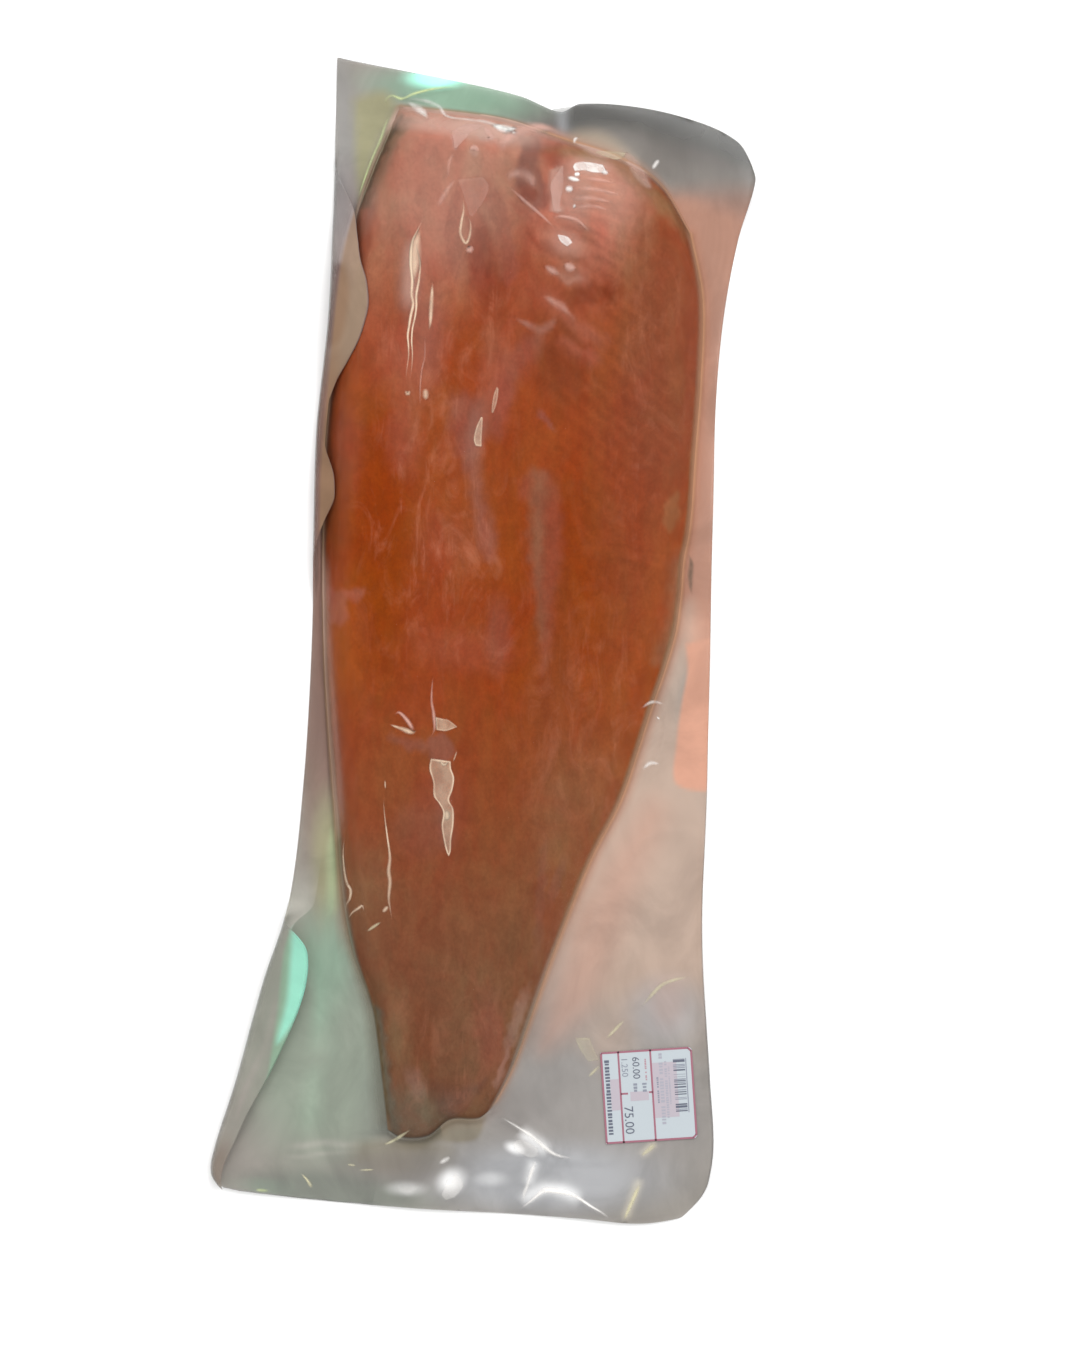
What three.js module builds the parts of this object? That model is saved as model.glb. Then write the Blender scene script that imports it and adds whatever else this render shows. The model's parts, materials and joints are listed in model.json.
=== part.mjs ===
// A side of smoked salmon, vacuum packed in a clear pouch and lying flesh side up, with a price label.
// Millimetres. +Y runs to the head end, +X to the belly side, +Z up. The flat underside is at z = 0.
import * as THREE from "three";
import { mergeVertices } from "three/addons/utils/BufferGeometryUtils.js";

// The two webs of the pouch's margin, pressed together
const filmThickness = 1;
const halfFilm = filmThickness / 2;

// The pouch's four edges as seen from above. Long sides give x at a y, short ends give y at an x
const pouchBackSide = [
  [-300.6, -148],
  [-285, -149],
  [-241, -135.5],
  [-187, -120.5],
  [-143, -106.5],
  [-77, -98.5],
  [0, -94],
  [77, -92.5],
  [121, -91],
  [176, -84.5],
  [230, -82.3],
  [320.4, -80],
];
const pouchBellySide = [
  [-311.6, 120.5],
  [-280, 126],
  [-242, 124.3],
  [-165, 120],
  [-77, 122.7],
  [77, 126],
  [132, 127.6],
  [176, 131.5],
  [220, 139.7],
  [250, 148.5],
  [261.5, 147.4],
];
const pouchTailEnd = [
  [-148, -300.6],
  [-79, -308.8],
  [53, -317.6],
  [86, -320.4],
  [110, -317],
  [120.5, -311.6],
];
const pouchHeadEnd = [
  [-80, 320.4],
  [-21, 308.3],
  [20, 299],
  [41.8, 290.5],
  [53, 295],
  [86, 291.8],
  [119, 282.4],
  [138, 272.5],
  [147.4, 261.5],
];

// The fish's outline, in the same way
const filletBack = [
  [-264.8, -50.6],
  [-220, -57],
  [-181, -67],
  [-143, -74.8],
  [-88, -79.2],
  [-22, -83],
  [55, -84.7],
  [110, -84.2],
  [165, -79.2],
  [215, -73.7],
  [253, -63.8],
  [292.9, -46.2],
];
const filletBelly = [
  [-257, 4.4],
  [-236, 15.4],
  [-209, 25.3],
  [-170, 39],
  [-121, 58.3],
  [-82, 78],
  [-38, 94],
  [6, 107.8],
  [55, 114.4],
  [143, 120.3],
  [187, 119.9],
  [223, 113.3],
];
const filletTail = [
  [-50.6, -264.8],
  [-43.5, -273],
  [-31, -272],
  [-18.7, -263.5],
  [-3, -262.6],
  [4.4, -257],
];
const filletHead = [
  [-46.2, 292.9],
  [8.8, 286.3],
  [44.6, 274.7],
  [75, 264.3],
  [98, 249],
  [113.3, 223],
];

// Where the fish's corner lines meet the ends of the pouch
const tailEndCorners = [-62, 34];
const headEndCorners = [-38, 112];

// Thickness of the fish along its length, and across it as a share of that, from back to belly
const thicknessAlong = [
  [-272, 7],
  [-220, 10],
  [-150, 13],
  [-50, 16.5],
  [50, 19.5],
  [130, 21.5],
  [215, 22.5],
  [292, 19.5],
];
const thicknessAcross = [
  [0, 0.84],
  [0.14, 0.97],
  [0.28, 1],
  [0.46, 0.88],
  [0.62, 0.86],
  [0.82, 0.68],
  [1, 0.46],
];

// How far in from each edge the fish rounds down to the film
const roundIn = { back: 17, belly: 15, head: 24, tail: 16 };
const roundPower = 2.3;

// The furrow at the head end between loin and belly flap
const furrowLine = [
  [154, 75],
  [187, 64],
  [234, 47],
  [281, 28],
];
const furrowDepth = [
  [140, 0],
  [190, 3.5],
  [240, 6],
  [290, 4.5],
];
const furrowWidth = 9;

// The back margin bends up and over. Each pair is a place along the pouch and a size or angle there:
// the turn of the bend, half its height, and how far the folded part reaches in over the bend
const foldAngle = [
  [-300.6, 168],
  [-270, 180],
  [-186, 180],
  [-170, 150],
  [-156, 60],
  [-140, 0],
  [18, 0],
  [36, 60],
  [56, 140],
  [72, 180],
  [300, 180],
  [320.4, 172],
];
const foldReach = [
  [-300.6, 6],
  [-275, 9.5],
  [-231, 17.6],
  [-192, 25],
  [-175, 21],
  [-156, 8],
  [22, 5],
  [63, 8],
  [83, 11.6],
  [112, 7],
  [146, 10],
  [176, 19.5],
  [200, 17.5],
  [235, 11],
  [320.4, 8.3],
];
const bendHeight = [
  [-300.6, 3.2],
  [-260, 4.6],
  [-190, 7],
  [-150, 5],
  [30, 4],
  [83, 7.5],
  [112, 6],
  [150, 9],
  [185, 10.6],
  [235, 7.5],
  [320.4, 4.5],
];
const bendRoom = 0.85;
const leastAngle = 1;
const leastFold = 0.6;

// The corner of the pouch beyond the belly flap stands off the table
const cornerLift = 15;
const cornerReach = 52;
const cornerHinge = { x: 78, y: 262, direction: 52 };

// Slow waves in the free margins
const waveHeight = 2.2;
const waveLength = 92;

// The price label
const labelSize = 50.5;
const labelThickness = 0.3;
const labelGap = 0.3;
const labelRounding = 2.2;
const labelCentre = { x: 90.6, y: -250 };
const labelTurn = 3.5;
const labelClear = 34;
const labelFade = 22;

// Mesh steps, across the pouch from back to belly and along it from tail to head
const foldSteps = 2;
const bendSteps = 8;
const levelSteps = 3;
const fishSteps = 18;
const bellySteps = 4;
const tailSteps = 4;
const lengthSteps = 52;
const headSteps = 5;

// Colours
const filmColour = 0x9a6e52;
const labelColour = 0xdfe4ec;

const { clamp, degToRad, lerp, smoothstep } = THREE.MathUtils;

// A smooth curve through pairs of place and value, level beyond its ends
function valueAt(pairs, place) {
  const last = pairs.length - 1;
  const at = clamp(place, pairs[0][0], pairs[last][0]);
  let k = 0;
  while (k < last - 1 && pairs[k + 1][0] < at) k += 1;
  const slope = (i) => {
    const before = pairs[Math.max(i - 1, 0)];
    const after = pairs[Math.min(i + 1, last)];
    return (after[1] - before[1]) / (after[0] - before[0]);
  };
  const step = pairs[k + 1][0] - pairs[k][0];
  const t = (at - pairs[k][0]) / step;
  const rise = t * t * (3 - 2 * t);
  const lead = t * (1 - t) * (1 - t) * step * slope(k);
  const trail = t * t * (1 - t) * step * slope(k + 1);
  return lerp(pairs[k][1], pairs[k + 1][1], rise) + lead - trail;
}

const sharesOf = (steps) => Array.from({ length: steps + 1 }, (_, k) => k / steps);
const mix = (from, to, t) => ({ x: lerp(from.x, to.x, t), y: lerp(from.y, to.y, t) });
const alongSide = (pairs, y) => ({ x: valueAt(pairs, y), y });
const alongEnd = (pairs, x) => ({ x, y: valueAt(pairs, x) });
const firstPlace = (pairs) => pairs[0][0];
const lastPlace = (pairs) => pairs[pairs.length - 1][0];

// The four lines that run along the pouch: its back side, the fish's two sides and its belly side.
// b runs from 0 at the pouch's tail end to 3 at its head end, with the fish between 1 and 2
function lineAlong(index, b) {
  if (index === 0 || index === 3) {
    const side = index === 0 ? pouchBackSide : pouchBellySide;
    const fish = index === 0 ? filletBack : filletBelly;
    const stops = [firstPlace(side), firstPlace(fish), lastPlace(fish), lastPlace(side)];
    const block = Math.min(Math.floor(b), 2);
    return alongSide(side, lerp(stops[block], stops[block + 1], b - block));
  }
  const fish = index === 1 ? filletBack : filletBelly;
  if (b < 1) {
    const corner = alongEnd(pouchTailEnd, tailEndCorners[index - 1]);
    return mix(corner, alongSide(fish, firstPlace(fish)), b);
  }
  if (b > 2) {
    const corner = alongEnd(pouchHeadEnd, headEndCorners[index - 1]);
    return mix(alongSide(fish, lastPlace(fish)), corner, b - 2);
  }
  return alongSide(fish, lerp(firstPlace(fish), lastPlace(fish), b - 1));
}

// The four lines that run across it, with a from 0 at the back to 3 at the belly
function lineAcross(index, a) {
  const block = Math.min(Math.floor(a), 2);
  if (index === 0 || index === 3) {
    const end = index === 0 ? pouchTailEnd : pouchHeadEnd;
    const corners = index === 0 ? tailEndCorners : headEndCorners;
    const stops = [firstPlace(end), ...corners, lastPlace(end)];
    return alongEnd(end, lerp(stops[block], stops[block + 1], a - block));
  }
  if (block !== 1) return mix(lineAlong(block, index), lineAlong(block + 1, index), a - block);
  const end = index === 1 ? filletTail : filletHead;
  return alongEnd(end, lerp(firstPlace(end), lastPlace(end), a - 1));
}

// The place in plan of grid position a, b, blended from the four lines round its block
function planPoint(a, b) {
  const column = Math.min(Math.floor(a), 2);
  const row = Math.min(Math.floor(b), 2);
  const s = a - column;
  const t = b - row;
  const sides = mix(lineAlong(column, b), lineAlong(column + 1, b), s);
  const ends = mix(lineAcross(row, a), lineAcross(row + 1, a), t);
  const low = mix(lineAlong(column, row), lineAlong(column + 1, row), s);
  const high = mix(lineAlong(column, row + 1), lineAlong(column + 1, row + 1), s);
  const corners = mix(low, high, t);
  return { x: sides.x + ends.x - corners.x, y: sides.y + ends.y - corners.y };
}

// Rounding of an edge: 0 on the edge, 1 from the given distance inwards
const rounded = (distance, size) => 1 - (1 - clamp(distance / size, 0, 1)) ** roundPower;

// Height of the fish over the film's own thickness
function fishHeight(a, b) {
  const inside = a > 1 && a < 2 && b > 1 && b < 2;
  if (!inside) return 0;
  const { x, y } = planPoint(a, b);
  const width = lineAlong(2, b).x - lineAlong(1, b).x;
  const length = lineAcross(2, a).y - lineAcross(1, a).y;
  const body = valueAt(thicknessAlong, y) * valueAt(thicknessAcross, a - 1);
  const across = (x - valueAt(furrowLine, y)) / furrowWidth;
  const furrow = valueAt(furrowDepth, y) * Math.exp(-across * across);
  const edges =
    rounded((a - 1) * width, roundIn.back) *
    rounded((2 - a) * width, roundIn.belly) *
    rounded((2 - b) * length, roundIn.head) *
    rounded((b - 1) * length, roundIn.tail);
  return (body - furrow) * edges;
}

// Height of the free margin over the table: slow waves, and the lifted corner. It is level under the label
function marginLift(a, b) {
  const outward = Math.max(0, a - 2, b - 2, 1 - b);
  if (outward === 0) return 0;
  const { x, y } = planPoint(a, b);
  const fromLabel = Math.hypot(x - labelCentre.x, y - labelCentre.y);
  const freedom = smoothstep(outward, 0, 1) * smoothstep(fromLabel, labelClear, labelClear + labelFade);
  const phase = (2 * Math.PI * (x + y)) / waveLength;
  const wave = waveHeight * freedom * (0.5 + 0.5 * Math.sin(phase));
  const hinge = degToRad(cornerHinge.direction);
  const beyond = (x - cornerHinge.x) * Math.cos(hinge) + (y - cornerHinge.y) * Math.sin(hinge);
  const corner = cornerLift * clamp(beyond / cornerReach, 0, 1) ** 2 * smoothstep(outward, 0, 0.4);
  return wave + corner;
}

// A strip of film at a point of a section: its two faces, half the film's thickness to each side
function filmPair(point, normal) {
  return {
    upper: point.clone().addScaledVector(normal, halfFilm),
    lower: point.clone().addScaledVector(normal, -halfFilm),
  };
}

// The back margin at grid position b, from its free edge in to the fish: the part that lies over, the bend
// and the level film. The bend keeps its length while its turn opens out to nothing along the pouch
function backMargin(b) {
  const fish = lineAlong(1, b);
  const outline = lineAlong(0, b);
  const room = fish.x - outline.x;
  const turn = degToRad(Math.max(valueAt(foldAngle, outline.y), leastAngle));
  const radius = (Math.PI * valueAt(bendHeight, outline.y)) / turn;
  const bend = sharesOf(bendSteps).map((share) => ({
    x: -radius * Math.sin(turn * share),
    z: radius * (1 - Math.cos(turn * share)),
  }));
  const widest = Math.max(...bend.map((point) => -point.x));
  const squeeze = Math.min(1, (bendRoom * room) / widest);
  const start = outline.x + widest * squeeze;
  const reach = valueAt(foldReach, outline.y) - widest * squeeze;
  const folded = Math.max(leastFold, reach * (turn / Math.PI) ** 2);
  const end = bend[bendSteps];
  const section = [
    ...sharesOf(levelSteps).map((share) => ({ x: lerp(fish.x, start, share), z: 0 })),
    ...bend.slice(1).map((point) => ({ x: start + point.x * squeeze, z: point.z })),
    ...sharesOf(foldSteps)
      .slice(1)
      .map((share) => ({
        x: start + end.x * squeeze - folded * share * Math.cos(turn),
        z: end.z + folded * share * Math.sin(turn),
      })),
  ];
  const points = section.map(({ x, z }) => {
    const a = clamp((x - outline.x) / room, 0, 1);
    return new THREE.Vector3(x, planPoint(a, b).y, halfFilm + z + marginLift(a, b));
  });
  const pairs = points.map((point, k) => {
    const before = section[Math.max(k - 1, 0)];
    const after = section[Math.min(k + 1, section.length - 1)];
    const normal = new THREE.Vector3(after.z - before.z, 0, before.x - after.x);
    return filmPair(point, normal.normalize());
  });
  pairs[0] = filmPair(points[0], new THREE.Vector3(0, 0, 1));
  return pairs.reverse();
}

// The fish or the belly margin at grid position a, b
function fishPair(a, b) {
  const { x, y } = planPoint(a, b);
  const low = marginLift(a, b);
  return {
    upper: new THREE.Vector3(x, y, low + filmThickness + fishHeight(a, b)),
    lower: new THREE.Vector3(x, y, low),
  };
}

// Grid stops of one block, closer together near its ends where that is asked for
function stopsOf(block, steps, bunching) {
  return sharesOf(steps).map((t) => block + lerp(t, 0.5 - 0.5 * Math.cos(Math.PI * t), bunching));
}

// The closed pouch: an upper and a lower sheet over one grid, joined by a rim
function pouchGeometry() {
  const across = [...stopsOf(1, fishSteps, 0.75), ...stopsOf(2, bellySteps, 0).slice(1)];
  const along = [
    ...stopsOf(0, tailSteps, 0),
    ...stopsOf(1, lengthSteps, 0.5).slice(1),
    ...stopsOf(2, headSteps, 0).slice(1),
  ];
  const rows = along.map((b) => [...backMargin(b), ...across.slice(1).map((a) => fishPair(a, b))]);
  const positions = [];
  const quad = (p, q, r, s) => {
    for (const corner of [p, q, r, p, r, s]) positions.push(...corner.toArray());
  };
  const lastRow = rows.length - 1;
  const lastColumn = rows[0].length - 1;
  for (let j = 0; j < lastRow; j += 1) {
    for (let i = 0; i < lastColumn; i += 1) {
      const [p, q, r, s] = [rows[j][i], rows[j][i + 1], rows[j + 1][i + 1], rows[j + 1][i]];
      quad(p.upper, q.upper, r.upper, s.upper);
      quad(s.lower, r.lower, q.lower, p.lower);
    }
  }
  const rim = [
    ...rows[0].slice(0, -1),
    ...rows.slice(0, -1).map((row) => row[lastColumn]),
    ...rows[lastRow].slice(1).reverse(),
    ...rows.slice(1).map((row) => row[0]).reverse(),
  ];
  rim.forEach((pair, k) => {
    const next = rim[(k + 1) % rim.length];
    quad(pair.lower, next.lower, next.upper, pair.upper);
  });
  const geometry = new THREE.BufferGeometry();
  geometry.setAttribute("position", new THREE.Float32BufferAttribute(positions, 3));
  const merged = mergeVertices(geometry, 1e-4);
  merged.computeVertexNormals();
  return merged;
}

// A flat square with rounded corners
function labelGeometry() {
  const half = labelSize / 2;
  const shape = new THREE.Shape();
  shape.moveTo(-half + labelRounding, -half);
  for (let corner = 0; corner < 4; corner += 1) {
    const turn = (corner * Math.PI) / 2;
    const inner = half - labelRounding;
    const middle = new THREE.Vector2(inner, -inner).rotateAround(new THREE.Vector2(), turn);
    shape.absarc(middle.x, middle.y, labelRounding, turn - Math.PI / 2, turn, false);
  }
  return new THREE.ExtrudeGeometry(shape, { depth: labelThickness, bevelEnabled: false, curveSegments: 6 });
}

const pouch = new THREE.Mesh(
  pouchGeometry(),
  new THREE.MeshStandardMaterial({ color: filmColour, roughness: 0.2, metalness: 0 }),
);
pouch.name = "vacuum_pouch";

const label = new THREE.Mesh(
  labelGeometry(),
  new THREE.MeshStandardMaterial({ color: labelColour, roughness: 0.55, metalness: 0 }),
);
label.name = "price_label";
label.rotation.z = degToRad(labelTurn);
label.position.set(labelCentre.x, labelCentre.y, filmThickness + labelGap);

const salmon = new THREE.Group();
salmon.add(pouch, label);

// The origin is centred under the pouch
const outerBox = new THREE.Box3().setFromObject(pouch, true);
const middle = outerBox.getCenter(new THREE.Vector3());
salmon.position.set(-middle.x, -middle.y, -outerBox.min.z);

export default salmon;
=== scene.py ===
import json
import math

import bmesh
import bpy
import numpy as np
from mathutils import Matrix, Vector
from mathutils.bvhtree import BVHTree

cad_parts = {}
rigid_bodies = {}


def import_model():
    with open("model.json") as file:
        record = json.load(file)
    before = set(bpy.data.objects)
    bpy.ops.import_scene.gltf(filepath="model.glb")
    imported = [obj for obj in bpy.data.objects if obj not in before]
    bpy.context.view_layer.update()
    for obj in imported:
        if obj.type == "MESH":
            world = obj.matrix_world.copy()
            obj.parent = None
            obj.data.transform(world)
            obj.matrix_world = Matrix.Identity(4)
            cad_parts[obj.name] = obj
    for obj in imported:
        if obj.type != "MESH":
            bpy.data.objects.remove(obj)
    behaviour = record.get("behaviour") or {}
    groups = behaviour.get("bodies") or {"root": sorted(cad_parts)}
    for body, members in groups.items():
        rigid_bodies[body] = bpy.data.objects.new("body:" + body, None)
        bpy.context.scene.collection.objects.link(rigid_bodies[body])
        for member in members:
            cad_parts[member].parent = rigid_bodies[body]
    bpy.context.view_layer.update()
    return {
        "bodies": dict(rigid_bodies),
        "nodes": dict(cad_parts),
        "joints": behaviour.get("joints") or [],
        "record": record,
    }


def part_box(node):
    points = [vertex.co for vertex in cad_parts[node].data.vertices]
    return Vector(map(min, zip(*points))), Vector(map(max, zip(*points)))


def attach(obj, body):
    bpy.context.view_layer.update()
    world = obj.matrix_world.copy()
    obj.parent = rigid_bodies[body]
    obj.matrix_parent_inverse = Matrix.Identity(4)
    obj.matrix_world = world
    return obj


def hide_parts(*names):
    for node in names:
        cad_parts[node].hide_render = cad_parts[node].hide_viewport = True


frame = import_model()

mm = 0.001

# A side of smoked salmon in a clear vacuum pouch. Tables are in millimetres, plan points are complex numbers
# x + iy, and a grid position runs from 0 to 3 each way: a from back to belly, b from tail to head. The fish
# lies from 1 to 2

pouch = {
    "backSide": [(-300.6, -148), (-285, -149), (-241, -135.5), (-187, -120.5), (-143, -106.5), (-77, -98.5),
        (0, -94), (77, -92.5), (121, -91), (176, -84.5), (230, -82.3), (320.4, -80)],
    "bellySide": [(-311.6, 120.5), (-280, 126), (-242, 124.3), (-165, 120), (-77, 122.7), (77, 126),
        (132, 127.6), (176, 131.5), (220, 139.7), (250, 148.5), (261.5, 147.4)],
    "tailEnd": [(-148, -300.6), (-79, -308.8), (53, -317.6), (86, -320.4), (110, -317), (120.5, -311.6)],
    "headEnd": [(-80, 320.4), (-21, 308.3), (20, 299), (41.8, 290.5), (53, 295), (86, 291.8), (119, 282.4),
        (138, 272.5), (147.4, 261.5)],
    "tailCorners": (-62, 34),
    "headCorners": (-38, 112),
    "foldAngle": [(-300.6, 168), (-285, 180), (-172, 180), (-163, 168), (-156.5, 140), (-150, 70),
        (-142, 0), (18, 0), (36, 60), (54, 140), (70, 178), (84, 180), (222, 180), (238, 176), (256, 120),
        (276, 25), (290, 0), (320.4, 0)],
    "foldReach": [(-300.6, 4.5), (-285, 7.6), (-272.5, 10.2), (-258, 12.1), (-235, 17.2), (-207.6, 22.4),
        (-192, 23.6), (-181, 22.4), (-173, 19.8), (-164.7, 15.5), (-157, 9.5), (-150, 5), (22, 4.4),
        (55, 5.4), (66, 7.2), (72, 9.2), (78, 11.2), (88, 11), (94, 9.6), (104, 5.8), (112, 4.4),
        (126, 4.2), (134, 6), (143, 8.8), (152.6, 13.6), (163, 18), (172, 20.2), (180, 21.6), (186, 21.5),
        (196, 19.8), (207, 16.2), (219, 14.2), (232, 12), (252, 9.4), (270, 8.8), (320.4, 8.3)],
    "bendHeight": [(-300.6, 3.2), (-260, 4.6), (-190, 6), (-150, 4.5), (30, 4.6), (66, 6.6), (83, 7.6),
        (96, 6.6), (112, 5), (136, 5), (148, 7.2), (158, 9.4), (171, 10.9), (187, 11.2), (208, 9.9),
        (225, 6.4), (240, 2.8), (270, 1.7), (320.4, 1.5)],
    "bendRoom": 0.85,
    "leastAngle": 1.0,
    "leastFold": 0.6,
    "cornerLift": 15,
    "cornerReach": 52,
    "cornerHinge": (78, 262, 52),
    "waveHeight": 2.2,
    "waveLength": 92,
}

fish = {
    "back": [(-269, -53), (-244, -55.8), (-222, -58.4), (-204, -61), (-193, -64.4), (-181, -69),
        (-170, -72.6), (-143, -77.8), (-88, -82), (-22, -86.6), (22, -88), (55, -88), (110, -86.4),
        (165, -80.4), (215, -73.9), (253, -63.8), (292.9, -46.2)],
    "belly": [(-257, 4.4), (-236, 15.4), (-209, 25.3), (-170, 39), (-121, 58.3), (-88, 75), (-60, 84.6),
        (-38, 91.6), (-18, 98.6), (4, 105), (24, 107.8), (44, 109.4), (57, 112), (72, 113.8), (100, 115.6),
        (143, 118.8), (187, 119.9), (223, 113.3)],
    "tail": [(-53, -269), (-46, -273), (-31, -272.4), (-18.7, -263.5), (-3, -262.6), (4.4, -257)],
    "head": [(-46.2, 292.9), (8.8, 286.3), (44.6, 274.7), (75, 264.3), (98, 249), (113.3, 223)],
    "thicknessAlong": [(-272, 7), (-220, 10), (-150, 13), (-50, 16.5), (50, 19.5), (130, 21.5), (215, 22.5),
        (292, 19.5)],
    "thicknessAcross": [(0, 0.84), (0.14, 0.97), (0.28, 1), (0.46, 0.88), (0.62, 0.86), (0.82, 0.68),
        (1, 0.46)],
    "roundIn": {"back": 17, "belly": 15, "head": 24, "tail": 16},
    "roundPower": 2.3,
    "furrowLine": [(154, 75), (187, 64), (234, 47), (281, 28)],
    "furrowDepth": [(140, 0), (190, 3.5), (240, 6), (290, 4.5)],
    "furrowWidth": 9,
}

labelSheet = {"centre": 90.6 - 250j, "clear": 34, "fade": 22}

# The solids' origin is centred under the pouch, so the tables move with the label's own place
labelLow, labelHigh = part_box("price_label")
frameShift = complex(*((labelLow + labelHigh) / 2 / mm)[:2]) - labelSheet["centre"]


def mix(start, end, share):
    return start + (end - start) * share


def smooth(value, low, high):
    t = np.clip((value - low) / (high - low), 0, 1)
    return t * t * (3 - 2 * t)


def valueAt(pairs, place):  # smooth curve through place and value pairs, level beyond its ends
    places, values = np.array(pairs, float).T
    count = len(places)
    before = np.maximum(np.arange(count) - 1, 0)
    after = np.minimum(np.arange(count) + 1, count - 1)
    slopes = (values[after] - values[before]) / (places[after] - places[before])
    at = np.clip(place, places[0], places[-1])
    k = np.clip(np.searchsorted(places, at) - 1, 0, count - 2)
    step = places[k + 1] - places[k]
    t = (at - places[k]) / step
    lead = t * (1 - t) ** 2 * step * slopes[k]
    trail = t * t * (1 - t) * step * slopes[k + 1]
    return mix(values[k], values[k + 1], t * t * (3 - 2 * t)) + lead - trail


def alongSide(pairs, y):
    return valueAt(pairs, y) + 1j * y


def alongEnd(pairs, x):
    return x + 1j * valueAt(pairs, x)


def lineAlong(index, b):  # back side, the fish's back and belly edges, belly side
    side, edge = (("backSide", "back"), ("bellySide", "belly"))[index // 2]
    side, edge = pouch[side], fish[edge]
    if index in (0, 3):
        stations = side[0][0], edge[0][0], edge[-1][0], side[-1][0]
        return alongSide(side, np.interp(b, (0, 1, 2, 3), stations))
    ends = alongSide(edge, np.array((edge[0][0], edge[-1][0])))
    tailCorner = alongEnd(pouch["tailEnd"], pouch["tailCorners"][index - 1])
    headCorner = alongEnd(pouch["headEnd"], pouch["headCorners"][index - 1])
    onFish = alongSide(edge, np.interp(b, (1, 2), (edge[0][0], edge[-1][0])))
    onward = np.where(b > 2, mix(ends[1], headCorner, b - 2), onFish)
    return np.where(b < 1, mix(tailCorner, ends[0], b), onward)


def lineAcross(index, a):  # tail end, the fish's tail and head edges, head end
    end, edge = (("tailEnd", "tail"), ("headEnd", "head"))[index // 2]
    end, edge, corners = pouch[end], fish[edge], pouch[edge + "Corners"]
    if index in (0, 3):
        return alongEnd(end, np.interp(a, (0, 1, 2, 3), (end[0][0], *corners, end[-1][0])))
    corner = [lineAlong(line, np.float64(index)) for line in range(4)]
    onFish = alongEnd(edge, np.interp(a, (1, 2), (edge[0][0], edge[-1][0])))
    onward = np.where(a > 2, mix(corner[2], corner[3], a - 2), onFish)
    return np.where(a < 1, mix(corner[0], corner[1], a), onward)


def planPoint(a, b):  # blended from the four lines round each of the nine blocks
    a, b = np.broadcast_arrays(np.asarray(a, float), np.asarray(b, float))
    column = np.minimum(a.astype(int), 2)
    row = np.minimum(b.astype(int), 2)
    s, t = a - column, b - row
    along = np.stack([lineAlong(index, b) for index in range(4)])
    across = np.stack([lineAcross(index, a) for index in range(4)])
    corner = np.array([[lineAlong(i, np.float64(j)) for j in range(4)] for i in range(4)])
    pick = lambda lines, index: np.take_along_axis(lines, index[None], 0)[0]
    sides = mix(pick(along, column), pick(along, column + 1), s)
    ends = mix(pick(across, row), pick(across, row + 1), t)
    low = mix(corner[column, row], corner[column + 1, row], s)
    high = mix(corner[column, row + 1], corner[column + 1, row + 1], s)
    return sides + ends - mix(low, high, t)


def edgeDistances(a, b):  # how far in from the fish's four edges, in millimetres
    width = lineAlong(2, b).real - lineAlong(1, b).real
    length = lineAcross(2, a).imag - lineAcross(1, a).imag
    return {"back": (a - 1) * width, "belly": (2 - a) * width, "head": (2 - b) * length,
        "tail": (b - 1) * length}


def nearest(distances):
    return np.minimum.reduce(np.broadcast_arrays(*distances.values()))


def fishHeight(a, b):
    p = planPoint(a, b)
    body = valueAt(fish["thicknessAlong"], p.imag) * valueAt(fish["thicknessAcross"], a - 1)
    across = (p.real - valueAt(fish["furrowLine"], p.imag)) / fish["furrowWidth"]
    height = body - valueAt(fish["furrowDepth"], p.imag) * np.exp(-across * across)
    for edge, distance in edgeDistances(a, b).items():
        height = height * (1 - (1 - np.clip(distance / fish["roundIn"][edge], 0, 1)) ** fish["roundPower"])
    return height


def clearOfLabel(p):  # 0 under the label, 1 well beside it
    clear = labelSheet["clear"]
    return smooth(abs(p - labelSheet["centre"]), clear, clear + labelSheet["fade"])


def marginLift(a, b, p):
    outward = np.maximum.reduce([np.zeros(p.shape), a - 2 + 0 * b, b - 2 + 0 * a, 1 - b + 0 * a])
    wave = 0.5 + 0.5 * np.sin(2 * np.pi * (p.real + p.imag) / pouch["waveLength"])
    x, y, direction = pouch["cornerHinge"]
    beyond = ((p - complex(x, y)) * np.exp(-1j * math.radians(direction))).real
    corner = np.clip(beyond / pouch["cornerReach"], 0, 1) ** 2 * smooth(outward, 0, 0.4)
    swell = pouch["waveHeight"] * wave * smooth(outward, 0, 1) * clearOfLabel(p)
    return swell + pouch["cornerLift"] * corner


def backMargin(b, foldShares, bendShares, levelShares):  # centre line of the back margin, free edge first
    b = b[:, None]
    inner, outer = lineAlong(1, b), lineAlong(0, b)
    room = inner.real - outer.real
    turn = np.radians(np.maximum(valueAt(pouch["foldAngle"], outer.imag), pouch["leastAngle"]))
    radius = np.pi * valueAt(pouch["bendHeight"], outer.imag) / turn
    bendX = -radius * np.sin(turn * bendShares)
    bendZ = radius * (1 - np.cos(turn * bendShares))
    widest = -bendX.min(1, keepdims=True)
    squeeze = np.minimum(1, pouch["bendRoom"] * room / widest)
    start = outer.real + widest * squeeze
    reach = valueAt(pouch["foldReach"], outer.imag) - widest * squeeze
    folded = np.maximum(pouch["leastFold"], reach * (turn / np.pi) ** 2)
    foldX = start + bendX[:, -1:] * squeeze - folded * foldShares * np.cos(turn)
    foldZ = bendZ[:, -1:] + folded * foldShares * np.sin(turn)
    levelX = mix(inner.real, start, levelShares)
    x = np.hstack([levelX, (start + bendX * squeeze)[:, 1:], foldX[:, 1:]])[:, ::-1]
    z = np.hstack([0 * levelX, bendZ[:, 1:], foldZ[:, 1:]])[:, ::-1]
    a = np.clip((x - outer.real) / room, 0, 1)
    p = planPoint(a, b + 0 * a)
    return x, p.imag, z, a


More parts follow.
